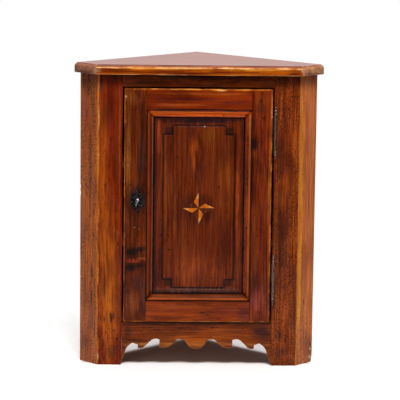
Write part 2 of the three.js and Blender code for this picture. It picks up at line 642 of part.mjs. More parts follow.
function lockCase() {
  const hollow = block([CASE_LEFT + LOCK_CASE_WALL, CASE_FRONT - CUT_OVERRUN, CASE_LOW + LOCK_CASE_WALL],
    [CASE_RIGHT - LOCK_CASE_WALL, PLATE_FRONT, CASE_HIGH - LOCK_CASE_WALL]);
  const boltWay = block(
    [-CUT_OVERRUN, BOLT_LOCAL_FRONT - BOLT_CLEARANCE, BOLT_LOCAL_BOTTOM - BOLT_CLEARANCE],
    [KEY_X, PLATE_FRONT, BOLT_LOCAL_BOTTOM + BOLT_HEIGHT + BOLT_CLEARANCE],
  );
  return cut(join(lockBodies(0)), [hollow, boltWay]);
}

// The keyhole: a round hole with a slot below it, as a shape in x and z
function keyholeOutline(x, z, slack) {
  const half = (KEY_BIT_THICKNESS + KEYHOLE_SLOT_PLAY) / 2 + slack;
  const radius = KEY_SHANK_RADIUS + KEYHOLE_CLEARANCE + slack;
  const start = Math.acos(half / radius);
  const points = [];
  for (let step = 0; step <= SMALL_ROUND_SIDES; step += 1) {
    const turn = -start + (step / SMALL_ROUND_SIDES) * (Math.PI + start + start);
    points.push([x + radius * Math.cos(turn), z + radius * Math.sin(turn)]);
  }
  const foot = z - KEY_BIT_RADIUS - KEYHOLE_DROP_PLAY - slack;
  points.push([x - half, foot], [x + half, foot]);
  return points;
}

function keyhole(slack, front, back) {
  return facing(frontOutline(keyholeOutline(KEY_X, LOCK_HEIGHT, slack)), front, back);
}

const lockStile = doorStile(0, LOCK_STILE_WIDTH);
lockStile.cutters.push(...lockRecess(), keyhole(JOINT_GAP, -CUT_OVERRUN, CASE_FRONT + CUT_OVERRUN));

// Escutcheon: an oval plate drawn out to a point above and below, held by two round-headed pins
const ESCUTCHEON_OVAL_STEPS = 8;
const ESCUTCHEON_NECK_TURN = Math.PI / 10;
const ESCUTCHEON_FACE = -ESCUTCHEON_THICKNESS - JOINT_GAP;

function escutcheonOutline() {
  const sweep = Math.PI - ESCUTCHEON_NECK_TURN * 2;
  const points = [];
  [0, Math.PI].forEach((side) => {
    for (let step = 0; step <= ESCUTCHEON_OVAL_STEPS; step += 1) {
      const turn = side + sweep * (step / ESCUTCHEON_OVAL_STEPS - 0.5);
      const across = (ESCUTCHEON_WIDTH / 2) * Math.cos(turn);
      points.push([KEY_X + across, LOCK_HEIGHT + (ESCUTCHEON_BODY_HEIGHT / 2) * Math.sin(turn)]);
    }
    points.push([KEY_X, LOCK_HEIGHT + (ESCUTCHEON_HEIGHT / 2) * Math.cos(side)]);
  });
  return points;
}

function escutcheonPins(profile) {
  const reach = ESCUTCHEON_HEIGHT / 2 - ESCUTCHEON_PIN_INSET;
  return [1, -1].map((side) => {
    const pin = turned(profile, SMALL_ROUND_SIDES);
    return pin.translate(KEY_X, ESCUTCHEON_FACE - JOINT_GAP, LOCK_HEIGHT + side * reach);
  });
}

const pinProfile = [[0, -ESCUTCHEON_PIN_HEAD_HEIGHT],
  [ESCUTCHEON_PIN_HEAD_RADIUS / 2, -ESCUTCHEON_PIN_HEAD_HEIGHT],
  [ESCUTCHEON_PIN_HEAD_RADIUS, 0], [ESCUTCHEON_PIN_RADIUS, 0],
  [ESCUTCHEON_PIN_RADIUS, ESCUTCHEON_PIN_LENGTH], [0, ESCUTCHEON_PIN_LENGTH]];
const pinHoleRadius = ESCUTCHEON_PIN_RADIUS + JOINT_GAP;
const pinHoleProfile = [[0, 0], [pinHoleRadius, 0], [pinHoleRadius, ESCUTCHEON_PIN_LENGTH + JOINT_GAP],
  [0, ESCUTCHEON_PIN_LENGTH + JOINT_GAP]];
lockStile.cutters.push(...escutcheonPins(pinHoleProfile));
const pinNames = ['upper_escutcheon_pin', 'lower_escutcheon_pin'];
escutcheonPins(pinProfile).forEach((pin, i) => place(door, pinNames[i], pin, iron));
const escutcheonPlate = facing(frontOutline(escutcheonOutline()), ESCUTCHEON_FACE, -JOINT_GAP);
const escutcheonHoles = [keyhole(0, -CUT_OVERRUN, CUT_OVERRUN), ...escutcheonPins(pinHoleProfile)];
place(door, 'escutcheon', cut(escutcheonPlate, escutcheonHoles), iron);

place(door, 'lock_case', lockCase(), iron);

// Bolt: a bar with a talon cut in its lower edge, where the bit of the key bears
const boltEnd = CASE_RIGHT - LOCK_CASE_WALL - BOLT_END_CLEARANCE;
const bolt = block([BOLT_TIP_SET_BACK, BOLT_LOCAL_FRONT, BOLT_LOCAL_BOTTOM],
  [boltEnd, BOLT_LOCAL_BACK, BOLT_LOCAL_BOTTOM + BOLT_HEIGHT]);
const talonStart = KEY_X + TALON_START;
const talon = block([talonStart, BOLT_LOCAL_FRONT - CUT_OVERRUN, BOLT_LOCAL_BOTTOM - CUT_OVERRUN],
  [talonStart + TALON_WIDTH, BOLT_LOCAL_BACK + CUT_OVERRUN, LOCK_HEIGHT + KEY_BIT_RADIUS + TALON_CLEARANCE]);
place(door, 'lock_bolt', cut(bolt, [talon]), iron);

// Key, about its own shank: the bow and the bit lie in one upright plane, then lean together
const KEY_BOW_SIDES = 16;
const KEY_SHANK_END = CASE_BACK - LOCK_PLATE_THICKNESS - BOLT_CLEARANCE - JOINT_GAP;
const KEY_BIT_BACK = KEY_SHANK_END - JOINT_GAP;

function keyBow() {
  const ring = (halfLength, halfWidth) => Array.from({ length: KEY_BOW_SIDES }, (_, i) => {
    const turn = (i / KEY_BOW_SIDES) * Math.PI * 2;
    return new THREE.Vector2(halfLength * Math.cos(turn), halfWidth * Math.sin(turn));
  });
  const shape = new THREE.Shape(ring(KEY_BOW_LENGTH / 2, KEY_BOW_WIDTH / 2));
  shape.holes.push(new THREE.Path(ring(KEY_BOW_LENGTH / 2 - KEY_BOW_BAR, KEY_BOW_WIDTH / 2 - KEY_BOW_BAR)));
  const bow = new THREE.ExtrudeGeometry(shape, { depth: KEY_BOW_BAR, bevelEnabled: false });
  const axes = new THREE.Matrix4().makeBasis(
    new THREE.Vector3(0, 1, 0), new THREE.Vector3(0, 0, 1), new THREE.Vector3(1, 0, 0),
  );
  bow.translate(0, 0, -KEY_BOW_BAR / 2).applyMatrix4(axes);
  return bow.translate(0, -KEY_BOW_STAND - KEY_BOW_LENGTH / 2, 0);
}

function keyGeometry() {
  const bowEnd = -KEY_BOW_STAND - KEY_BOW_BAR / 2;
  const shank = roundBar(0, 0, bowEnd, KEY_SHANK_END, KEY_SHANK_RADIUS);
  const collar = roundBar(0, 0, -KEY_COLLAR_STAND - KEY_COLLAR_LENGTH, -KEY_COLLAR_STAND, KEY_COLLAR_RADIUS);
  const bit = block([-KEY_BIT_THICKNESS / 2, KEY_BIT_BACK - KEY_BIT_LENGTH, 0],
    [KEY_BIT_THICKNESS / 2, KEY_BIT_BACK, KEY_BIT_RADIUS]);
  return join([shank, keyBow(), collar, bit]);
}

const key = place(door, 'key', keyGeometry(), iron);
key.position.set(KEY_X, 0, LOCK_HEIGHT);
key.rotation.y = KEY_TILT;

// Lift-off hinges: the knuckle on the door drops over a pin in the knuckle on the frame.
// Each is drawn about its own axis, with x along the front, y into the cupboard and z from the barrel's foot.
const HINGE_SIDES = 16;
const FINIAL_BEAD_SHARE = 1.2;
const HINGE_AXIS_PROUD = HINGE_BARREL_RADIUS * FINIAL_BEAD_SHARE + HINGE_FACE_CLEARANCE;
const HINGE_BORE_RADIUS = HINGE_PIN_RADIUS + HINGE_PIN_CLEARANCE;
const HINGE_FRAME_KNUCKLE_TOP = HINGE_BARREL_LENGTH - HINGE_DOOR_KNUCKLE_LENGTH - HINGE_KNUCKLE_GAP;
const HINGE_DOOR_KNUCKLE_BOTTOM = HINGE_BARREL_LENGTH - HINGE_DOOR_KNUCKLE_LENGTH;
const HINGE_BORE_END = HINGE_BARREL_RADIUS;
const EDGE_FROM_AXIS = -HINGE_AXIS_OFFSET;
const STILE_FROM_AXIS = OPENING_RIGHT - (DOOR_LEFT + DOOR_WIDTH + HINGE_AXIS_OFFSET);
const WEB_REACH = -(HINGE_BARREL_RADIUS + HINGE_BORE_RADIUS) / 2;
// Turned end of the barrel: radii as shares of the barrel's, and places as shares of the finial's length
const FINIAL_SHARES = [[0.75, 0.06], [FINIAL_BEAD_SHARE, 0.16], [FINIAL_BEAD_SHARE, 0.28], [0.6, 0.36],
  [1, 0.48], [1, 0.6], [0.45, 0.7], [0.6, 0.82], [0.35, 0.95]];

function finialProfile(base, direction) {
  const profile = [[HINGE_BARREL_RADIUS, base]];
  FINIAL_SHARES.forEach(([radius, along]) => {
    profile.push([radius * HINGE_BARREL_RADIUS, base + direction * along * FINIAL_LENGTH]);
  });
  profile.push([0, base + direction * FINIAL_LENGTH]);
  return profile;
}

const upward = new THREE.Matrix4().makeRotationX(Math.PI / 2);

function knuckle(boreEnd, mouth, base, direction) {
  const profile = [[0, boreEnd], [HINGE_BORE_RADIUS, boreEnd], [HINGE_BORE_RADIUS, mouth],
    [HINGE_BARREL_RADIUS, mouth], ...finialProfile(base, direction)];
  return turned(profile, HINGE_SIDES).applyMatrix4(upward);
}

function leaf(from, to, back, bottom, top) {
  const plate = block([from, -HINGE_WEB_THICKNESS / 2, bottom], [to, back, top]);
  const web = block([from, -HINGE_WEB_THICKNESS / 2, bottom], [WEB_REACH, HINGE_WEB_THICKNESS / 2, top]);
  return [plate, web];
}

const doorLeafFace = EDGE_FROM_AXIS + HINGE_LEAF_GAP + HINGE_LEAF_THICKNESS;
const frameLeafFace = STILE_FROM_AXIS - HINGE_LEAF_GAP - HINGE_LEAF_THICKNESS;
const doorLeafSpan = [HINGE_DOOR_KNUCKLE_BOTTOM + HINGE_LEAF_END, HINGE_BARREL_LENGTH - HINGE_LEAF_END];
const frameLeafSpan = [HINGE_LEAF_END, HINGE_FRAME_KNUCKLE_TOP - HINGE_LEAF_END];
const frameLeafBack = HINGE_AXIS_PROUD + HINGE_LEAF_DEPTH;

function doorHalf() {
  const boreEnd = HINGE_BARREL_LENGTH - HINGE_BORE_END;
  const body = knuckle(boreEnd, HINGE_DOOR_KNUCKLE_BOTTOM, HINGE_BARREL_LENGTH, 1);
  const plates = leaf(EDGE_FROM_AXIS + HINGE_LEAF_GAP, doorLeafFace, HINGE_LEAF_DEPTH, ...doorLeafSpan);
  return join([body, ...plates]);
}

function frameHalf() {
  const body = knuckle(HINGE_BORE_END, HINGE_FRAME_KNUCKLE_TOP, 0, -1);
  const plates = leaf(frameLeafFace, STILE_FROM_AXIS - HINGE_LEAF_GAP, frameLeafBack, ...frameLeafSpan);
  return join([body, ...plates]);
}

function hingePin() {
  const low = HINGE_BORE_END + JOINT_GAP;
  const high = HINGE_BARREL_LENGTH - HINGE_BORE_END - HINGE_PIN_END_GAP;
  const profile = [[0, low], [HINGE_PIN_RADIUS, low], [HINGE_PIN_RADIUS, high], [0, high]];
  return turned(profile, HINGE_SIDES).applyMatrix4(upward);
}

const HINGE_LOCAL_X = DOOR_WIDTH + HINGE_AXIS_OFFSET;
const HINGE_LOCAL_Y = DOOR_PROUD - HINGE_AXIS_PROUD;
const hingeFeet = {
  upper: DOOR_HEIGHT - HINGE_END_INSET - HINGE_BARREL_LENGTH / 2,
  lower: HINGE_END_INSET - HINGE_BARREL_LENGTH / 2,
};
const hingeStile = doorStile(FRAME_INNER_RIGHT, DOOR_WIDTH);

Object.entries(hingeFeet).forEach(([level, foot]) => {
  const doorPlace = [HINGE_LOCAL_X, HINGE_LOCAL_Y, foot];
  const framePlace = [DOOR_LEFT + HINGE_LOCAL_X, -HINGE_AXIS_PROUD, DOOR_BOTTOM + foot];
  place(door, `${level}_hinge_door_half`, doorHalf(), iron).position.set(...doorPlace);
  place(carcass, `${level}_hinge_frame_half`, frameHalf(), iron).position.set(...framePlace);
  place(carcass, `${level}_hinge_pin`, hingePin(), steel).position.set(...framePlace);
});

place(door, 'door_lock_stile', cut(lockStile.stile, lockStile.cutters), goldenPine);
place(door, 'door_hinge_stile', cut(hingeStile.stile, hingeStile.cutters), redPine);
place(door, 'door_top_rail', doorRail(FRAME_INNER_TOP), redPine);
place(door, 'door_bottom_rail', doorRail(0), goldenPine);
doorPegPlaces.forEach(([x, z], i) => {
  place(door, `door_peg_${i + 1}`, roundBar(x, z, -PEG_PROUD, DOOR_PEG_BACK, PEG_RADIUS), darkPine);
});

// Panel: a margin that slopes up to a raised field whose corners are cut back square
const FIELD_LEFT = FRAME_INNER_LEFT + MOULDING_WIDTH + FIELD_SIDE_MARGIN;
const FIELD_RIGHT = FRAME_INNER_RIGHT - MOULDING_WIDTH - FIELD_SIDE_MARGIN;
const FIELD_BOTTOM = FRAME_INNER_BOTTOM + MOULDING_WIDTH + FIELD_BOTTOM_MARGIN;
const FIELD_TOP = FRAME_INNER_TOP - MOULDING_WIDTH - FIELD_TOP_MARGIN;
const MARGIN_TOP_DEPTH = PANEL_EDGE_DEPTH - PANEL_MARGIN_RISE;
const FIELD_FACE = MARGIN_TOP_DEPTH - FIELD_STEP;
const STAR_X = (FIELD_LEFT + FIELD_RIGHT) / 2;
const STAR_Z = (FIELD_BOTTOM + FIELD_TOP) / 2 - STAR_DROP;

function rectangleRing(outset, y) {
  const [x0, x1] = [FRAME_INNER_LEFT - outset, FRAME_INNER_RIGHT + outset];
  const [z0, z1] = [FRAME_INNER_BOTTOM - outset, FRAME_INNER_TOP + outset];
  return [[x0, y, z0], [x1, y, z0], [x1, y, z1], [x0, y, z1]];
}

function fieldOutline() {
  const [w, h] = [FIELD_NOTCH_WIDTH, FIELD_NOTCH_HEIGHT];
  const [l, r, b, t] = [FIELD_LEFT, FIELD_RIGHT, FIELD_BOTTOM, FIELD_TOP];
  return [[l + w, b], [r - w, b], [r - w, b + h], [r, b + h], [r, t - h], [r - w, t - h],
    [r - w, t], [l + w, t], [l + w, t - h], [l, t - h], [l, b + h], [l + w, b + h]];
}

// The star's eight triangles: on each ray a light one to its left and a dark one to its right
function starTriangle(ray, side) {
  const tip = (ray * Math.PI) / 2;
  const shoulder = tip + side * (Math.PI / 4) + STAR_SHOULDER_TURN;
  const centre = new THREE.Vector2(STAR_X, STAR_Z);
  const at = (radius, turn) => {
    return new THREE.Vector2(STAR_X + radius * Math.cos(turn), STAR_Z + radius * Math.sin(turn));
  };
  return [centre, at(STAR_RAY, tip), at(STAR_SHOULDER, shoulder)];
}

function drawnIn(triangle, gap) {
  const [a, b, c] = triangle;
  const [oppositeA, oppositeB, oppositeC] = [b.distanceTo(c), c.distanceTo(a), a.distanceTo(b)];
  const perimeter = oppositeA + oppositeB + oppositeC;
  const weighted = a.clone().multiplyScalar(oppositeA).addScaledVector(b, oppositeB);
  const centre = weighted.addScaledVector(c, oppositeC).divideScalar(perimeter);
  const doubleArea = Math.abs(b.clone().sub(a).cross(c.clone().sub(a)));
  const kept = 1 - gap / (doubleArea / perimeter);
  return triangle.map((corner) => centre.clone().lerp(corner, kept));
}

function starPieces(side, gap, front, back) {
  return [0, 1, 2, 3].map((ray) => {
    return facing(new THREE.Shape(drawnIn(starTriangle(ray, side), gap)), front, back);
  });
}

function doorPanel() {
  const edge = PANEL_GROOVE_DEPTH - PANEL_EDGE_PLAY;
  const back = PANEL_EDGE_DEPTH + PANEL_EDGE_THICKNESS;
  const margin = skinned([
    rectangleRing(edge, back),
    rectangleRing(edge, PANEL_EDGE_DEPTH),
    rectangleRing(-MOULDING_WIDTH, PANEL_EDGE_DEPTH),
    [[FIELD_LEFT, MARGIN_TOP_DEPTH, FIELD_BOTTOM], [FIELD_RIGHT, MARGIN_TOP_DEPTH, FIELD_BOTTOM],
      [FIELD_RIGHT, MARGIN_TOP_DEPTH, FIELD_TOP], [FIELD_LEFT, MARGIN_TOP_DEPTH, FIELD_TOP]],
  ]);
  const field = facing(frontOutline(fieldOutline()), FIELD_FACE, PANEL_EDGE_DEPTH);
  const pocketBack = FIELD_FACE + STAR_DEPTH + JOINT_GAP;
  const pockets = [1, -1].flatMap((side) => starPieces(side, 0, FIELD_FACE - CUT_OVERRUN, pocketBack));
  return cut(join([margin, field]), pockets);
}

place(door, 'door_panel', doorPanel(), darkPine);
[['light', 1, lightWood], ['dark', -1, darkWood]].forEach(([tone, side, material]) => {
  starPieces(side, JOINT_GAP, FIELD_FACE, FIELD_FACE + STAR_DEPTH).forEach((piece, ray) => {
    place(door, `star_${tone}_${ray + 1}`, piece, material);
  });
});

// Mouldings: an ogee between two flats, mitred round the panel and planted against the frame
const OGEE_STEPS = 8;
function mouldingProfile() {
  const back = PANEL_EDGE_DEPTH - JOINT_GAP;
  const innerFace = back - MOULDING_INNER_THICKNESS;
  const ogeeEnd = innerFace - MOULDING_INNER_STEP;
  const ogeeWidth = MOULDING_WIDTH - MOULDING_OUTER_FLAT - MOULDING_INNER_FLAT;
  const ogeeDrop = ogeeEnd + MOULDING_PROUD;
  const profile = [[JOINT_GAP, back], [JOINT_GAP, -MOULDING_PROUD]];
  for (let step = 0; step <= OGEE_STEPS; step += 1) {
    const share = step / OGEE_STEPS;
    const drop = (1 - Math.cos(Math.PI * share)) / 2;
    profile.push([MOULDING_OUTER_FLAT + ogeeWidth * share, -MOULDING_PROUD + ogeeDrop * drop]);
  }
  profile.push([MOULDING_WIDTH - MOULDING_INNER_FLAT, innerFace]);
  profile.push([MOULDING_WIDTH, innerFace], [MOULDING_WIDTH, back]);
  return profile;
}

const acrossFrame = (inset, end) => (end < 0 ? FRAME_INNER_LEFT + inset : FRAME_INNER_RIGHT - inset);
const upFrame = (inset, end) => (end < 0 ? FRAME_INNER_BOTTOM + inset : FRAME_INNER_TOP - inset);
const mitreEnd = (inset, end) => acrossFrame(inset + JOINT_GAP, end);
const frameCorners = {
  top: (inset, end) => [mitreEnd(inset, end), upFrame(inset, 1)],
  bottom: (inset, end) => [mitreEnd(inset, end), upFrame(inset, -1)],
  left: (inset, end) => [acrossFrame(inset, -1), upFrame(inset, end)],
  right: (inset, end) => [acrossFrame(inset, 1), upFrame(inset, end)],
};

Object.entries(frameCorners).forEach(([edge, corner]) => {
  const rings = [-1, 1].map((end) => mouldingProfile().map(([inset, y]) => {
    const [x, z] = corner(inset, end);
    return [x, y, z];
  }));
  place(door, `panel_moulding_${edge}`, skinned(rings), redPine);
});

export default cupboard;
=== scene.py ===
# A corner cupboard of old stained pine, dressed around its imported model.
# Places are millimetres from the middle of the front, the faces of its stiles and the floor.
import math
import random
from functools import partial

import bmesh
import bpy
from mathutils import Matrix, Vector, noise


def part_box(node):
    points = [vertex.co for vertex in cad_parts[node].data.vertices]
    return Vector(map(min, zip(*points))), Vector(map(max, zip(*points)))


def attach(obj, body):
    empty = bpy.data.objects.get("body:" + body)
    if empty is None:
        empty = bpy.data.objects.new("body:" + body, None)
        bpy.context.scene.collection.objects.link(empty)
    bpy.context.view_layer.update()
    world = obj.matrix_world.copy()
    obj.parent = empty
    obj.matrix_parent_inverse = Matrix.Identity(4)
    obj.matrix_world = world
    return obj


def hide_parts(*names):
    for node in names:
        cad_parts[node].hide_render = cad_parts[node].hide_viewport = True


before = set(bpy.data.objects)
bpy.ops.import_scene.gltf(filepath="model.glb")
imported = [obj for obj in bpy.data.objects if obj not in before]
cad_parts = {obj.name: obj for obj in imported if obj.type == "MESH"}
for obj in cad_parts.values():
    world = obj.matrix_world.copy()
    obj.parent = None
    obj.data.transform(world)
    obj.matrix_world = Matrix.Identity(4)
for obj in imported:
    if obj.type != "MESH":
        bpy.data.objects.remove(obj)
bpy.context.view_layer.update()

# Front stiles
# Two pine boards run from the top to the floor and serve as feet. Each is mitred to a canted board,
# mortised for the rails, stained, shellacked and worn pale along its outer arris.
MM = 0.001
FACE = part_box("left_front_stile")[0].y
TOUCHING = 0.01 * MM
EDGE_ROUNDING = 1.4
SLICE = 9 * MM
ARRIS_ANGLE = math.radians(20)
SHARP_ANGLE = math.radians(38)
UPRIGHT = (0, 0, 0)
# Settings of nodes that come back: a soft step and the kinds of arithmetic
SOFT = {"interpolation_type": "SMOOTHSTEP"}
LESS, TIMES, TIMES_PLUS, LARGER, SMALLER = (
    {"operation": kind} for kind in ("SUBTRACT", "MULTIPLY", "MULTIPLY_ADD", "MAXIMUM", "MINIMUM"))


def linear(hex_colour):
    """An sRGB hex colour as linear red, green, blue and alpha."""
    parts = [int(hex_colour[i:i + 2], 16) / 255 for i in (1, 3, 5)]
    return (*[c / 12.92 if c <= 0.04045 else ((c + 0.055) / 1.055) ** 2.4 for c in parts], 1.0)


def cleared_tree(owner):
    """The emptied node tree of a material or a world."""
    owner.use_nodes = True
    owner.node_tree.nodes.clear()
    return owner.node_tree


def add(tree, kind, *inputs, out=0, **settings):
    """One output of a new shader node, given its settings and what its sockets take, in order or by name."""
    node = tree.nodes.new("ShaderNode" + kind)
    for key, value in settings.items():
        setattr(node, key, value)
    by_name = inputs and isinstance(inputs[0], dict)
    for socket, value in inputs[0].items() if by_name else enumerate(inputs):
        if isinstance(value, bpy.types.NodeSocket):
            tree.links.new(value, node.inputs[socket])
        else:
            node.inputs[socket].default_value = value
    return node.outputs[out] if node.outputs else None


def stained_pine(name, light, dark, blotch, worn, grain=UPRIGHT, seed=0, ring=6.5, contrast=0.7, flaming=0.62,
                 blotching=0.5, mottling=0.25, pitting=0.25, grooves=0.0, arrises=(), knots=(), patches=(),
                 outlines=(), marked_depth=0.0, foot=None, rim=0.0, roughness=0.3, specular=0.11, coat=0.03,
                 relief=0.3):
    """Pine stained with bitumen and shellacked: growth rings, fibres, blotches of dark stain, worm holes,
    knots that the rings flow round, dirt, painted shade and painted highlights along outlines and in patches,
    and arrises rubbed down to the pale wood, one of them also painted as a highlight."""
    # Arrises are (point, axis, width, share), knots (x, z, width, height, push on the rings, share), patches
    # (x, z, width, height, colour, share) and outlines (rectangle, from, to, colour, share). A rectangle is
    # (x, z, half width, half height, width and height of its notches), and a foot is (share, top)
    material = bpy.data.materials.new(name)
    tree = cleared_tree(material)
    node = partial(add, tree)
    at = node("VectorMath", node("TexCoord", out="Object"), (1 / MM,) * 3, (0, -FACE / MM, 0), **TIMES_PLUS)
    board = node("Mapping", at, (seed * 37.0, seed * 11.0, seed * 53.0), grain)

    def clouds(across, along, detail=2.0, rough=0.5):
        """Cloudy noise of a size across the grain and a size along it, in millimetres."""
        scaled = node("VectorMath", board, (1 / across, 1 / across, 1 / along), **TIMES)
        return node("TexNoise", {"Vector": scaled, "Scale": 1.0, "Detail": detail, "Roughness": rough})

    def reach(place, size):
        """The distance from a place in shares of a size; an axis without a size doesn't count."""
        inverse = [1 / s if s else 0.0 for s in size]
        offset = [-p * i for p, i in zip(place, inverse)]
        scaled = node("VectorMath", at, inverse, offset, **TIMES_PLUS)
        return node("VectorMath", scaled, operation="LENGTH", out="Value")

    # Growth rings: the distance across the board, bent by slow clouds and pushed aside by each knot
    side, depth = node("SeparateXYZ", board, out=slice(2))
    field = node("Math", depth, 0.6, side, **TIMES_PLUS)
    field = node("Math", clouds(85, 520), 46, field, **TIMES_PLUS)
    field = node("Math", clouds(16, 90), ring * 0.8, field, **TIMES_PLUS)
    for x, z, wide, high, push, core in knots:
        near = node("MapRange", reach((x, 0, z), (wide, 0, high)), 0.0, 1.6, push, 0.0, **SOFT)
        field = node("Math", field, near)
    rings = node("Math", node("Math", field, ring, operation="DIVIDE"), operation="FRACT")
    late = node("Math", node("MapRange", rings, 0.3, 0.88, **SOFT),
                node("MapRange", rings, 0.9, 1.0, 1.0, 0.0, **SOFT), **TIMES)
    shade = node("Math", node("MapRange", clouds(26, 240), 0.35, 0.65, 0.1, 1.0, **SOFT), contrast, **TIMES)
    colour = node("MixRGB", node("Math", late, shade, **TIMES), linear(light), linear(dark))

    # Marks of stain, wear and dirt, and painted shade and light, at their places; the grain lies over them
    at_x, at_y, at_z = node("SeparateXYZ", at, out=slice(3))
    face = node("MapRange", at_y, marked_depth, marked_depth + 3, 1.0, 0.0, **SOFT) if marked_depth else 1.0
    for x, z, wide, high, hue, share in patches:
        ragged = node("Math", clouds(9, 34, 3.0), 1.2, reach((x, 0, z), (wide, 0, high)), **TIMES_PLUS)
        mark = node("MapRange", ragged, 0.8, 2.1, share, 0.0, **SOFT)
        colour = node("MixRGB", node("Math", mark, face, **TIMES), colour, linear(hue))

    # The stain took unevenly: golden flames and dark streaks along the grain over slow changes of depth. The
    # fibres are drawn about 3 mm wide, coarser than real ones, so that they show
    fibre = clouds(3.2, 80, 2.0, 0.6)
    streaks = clouds(6, 140, 4.0, 0.64)
    for pattern, low, high, amount in (
            (clouds(60, 210), 0.36, 0.64, 0.6), (streaks, 0.35, 0.65, 1.0), (fibre, 0.3, 0.7, 0.75)):
        deep = [1 - amount * flaming * part for part in (0.5, 0.62, 0.68)]
        golden = [1 + amount * flaming * part for part in (0.42, 0.66, 0.7)]
        tint = node("MixRGB", node("MapRange", pattern, low, high, **SOFT), (*deep, 1), (*golden, 1))
        colour = node("MixRGB", 1.0, colour, tint, blend_type="MULTIPLY")
    stain = node("MapRange", clouds(34, 120, 4.0, 0.62), 0.46, 0.64, 0.0, blotching, **SOFT)
    colour = node("MixRGB", stain, colour, linear(blotch))

    # Specks of dirt in drifts, thicker towards a foot
    specks = node("MapRange", clouds(3.8, 6.0, 2.0, 0.7), 0.5, 0.58, **SOFT)
    drifts = node("MapRange", clouds(38, 90, 3.0), 0.7 - 0.45 * mottling, 0.85 - 0.45 * mottling,
                  0.1 * mottling, min(1.0, 0.5 + mottling), **SOFT)
    if foot:
        share, top = foot
        drifts = node("Math", drifts, node("MapRange", at_z, 40.0, top, share, 0.0, **SOFT), **LARGER)
    specks = node("Math", node("Math", specks, drifts, **TIMES), 0.7, **TIMES)
    colour = node("MixRGB", specks, colour, linear("#2c1109"))
    for x, z, wide, high, push, core in knots:
        ragged = node("Math", fibre, 0.25, reach((x, 0, z), (wide * 0.55, 0, high * 0.4)), **TIMES_PLUS)
        heart = node("Math", node("MapRange", ragged, 0.55, 1.15, core, 0.0, **SOFT), face, **TIMES)
        colour = node("MixRGB", heart, colour, linear("#1e100c"))

    # Outlines of dirt, painted shade and painted highlight: what lies between two distances from a rectangle,
    # whose corners may be notched
    for (x, z, half_wide, half_high, notch_wide, notch_high), low, high, hue, share in outlines:
        aside = node("Math", node("Math", at_x, x, **LESS), operation="ABSOLUTE")
        above = node("Math", node("Math", at_z, z, **LESS), operation="ABSOLUTE")
        past_end = node("Math", above, half_high, **LESS)
        away = node("Math", node("Math", aside, half_wide, **LESS), past_end, **LARGER)
        if notch_wide:
            notch = node("Math", node("Math", aside, half_wide - notch_wide, **LESS),
                         node("Math", above, half_high - notch_high, **LESS), **SMALLER)
            away = node("Math", away, notch, **LARGER)
        away = node("Math", clouds(7, 18), 1.2, node("Math", away, 0.6, **LESS), **TIMES_PLUS)
        soft = min(1.6, 0.5 + 0.1 * (high - low))
        within = node("Math", node("MapRange", away, low - soft, low + soft, **SOFT),
                      node("MapRange", away, high - soft, high + soft, share, 0.0, **SOFT), **TIMES)
        uneven_dirt_and_shade = node("MapRange", clouds(12, 44, 3.0), 0.36, 0.54, 0.72, 1.0, **SOFT)
        within = node("Math", within, node("Math", face, uneven_dirt_and_shade, **TIMES), **TIMES)
        colour = node("MixRGB", within, colour, linear(hue))

    # Worm holes in drifts, most of them 1 or 2 mm wide, and grooves where their galleries have broken open
    def holes(wide, long, largest, drift):
        """Holes scattered over cells of a width and a length, few of them near the largest size."""
        cells = node("VectorMath", board, (1 / wide, 1 / wide, 1 / long), **TIMES)
        distance, hue = node("TexVoronoi", {"Vector": cells, "Scale": 1.0}, out=slice(2))
        chance = node("Math", node("SeparateColor", hue), 3.0, operation="POWER")
        size = node("Math", chance, largest, **TIMES)
        hole = node("MapRange", node("Math", distance, size, **LESS), -0.02, 0.08, 1.0, 0.0, **SOFT)
        return node("Math", hole, drift, **TIMES)

    rare = 0.66 - 0.4 * pitting
    pits = holes(9.0, 12.0, 0.3, node("MapRange", clouds(42, 110, 2.0), rare, rare + 0.14, **SOFT))
    if grooves:
        rare = 0.62 - 0.25 * grooves
        broken = holes(5.5, 24.0, 0.42, node("MapRange", clouds(30, 90), rare, rare + 0.12, **SOFT))
        pits = node("Math", pits, broken, **LARGER)
    colour = node("MixRGB", node("Math", pits, 0.88, **TIMES), colour, linear("#1a0b07"))

    # Arrises, each a line through a point along one axis, rubbed pale in an uneven band; on the top board's
    # ovolo the band is also a painted highlight
    rubbed = 0.0
    for place, line, width, share in arrises:
        size = [0.0 if axis == line else width for axis in "xyz"]
        ragged = node("Math", clouds(5, 26, 3.0, 0.7), 1.5, reach(place, size), **TIMES_PLUS)
        band = node("Math", node("MapRange", ragged, 0.95, 1.75, share, 0.0, **SOFT),
                    node("MapRange", clouds(22, 50), 0.36, 0.6, 0.12, 1.0, **SOFT), **TIMES)
        rubbed = node("Math", band, rubbed, **LARGER)
    if rim:
        facing = node("SeparateXYZ", node("TexCoord", out="Normal"), out=1)
        facing = node("Math", facing, operation="ABSOLUTE")
        rubbed = node("Math", rubbed, node("MapRange", facing, 0.6, 0.97, rim, 0.0, **SOFT), **LARGER)
    if arrises or rim:
        colour = node("MixRGB", rubbed, colour, linear(worn))
        flecks = node("Math", node("MapRange", clouds(2.4, 6, 1.0), 0.62, 0.7, **SOFT),
                      node("Math", rubbed, 0.6, **TIMES), **TIMES)
        colour = node("MixRGB", flecks, colour, linear("#e0b482"))

    # The shellac has worn thin: its gloss is low and comes and goes, and the fibres stand up under it
    height = node("Math", fibre, 0.5, node("Math", late, -0.15, **TIMES), **TIMES_PLUS)
    height = node("Math", height, pits, **LESS)
    smooth, dull = roughness - 0.2 * relief, roughness + 0.33 * relief
    gloss = node("MapRange", clouds(24, 60, 3.0), 0.3, 0.7, smooth, dull, **SOFT)
    shader = node("BsdfPrincipled", {
        "Base Color": colour, "Roughness": node("Math", rubbed, 0.15, gloss, **TIMES_PLUS),
        "Normal": node("Bump", {"Height": height, "Strength": relief, "Distance": 0.7 * MM}),
        "Specular IOR Level": specular, "Coat Weight": coat, "Coat Roughness": 0.2})
    node("OutputMaterial", shader)
    return material


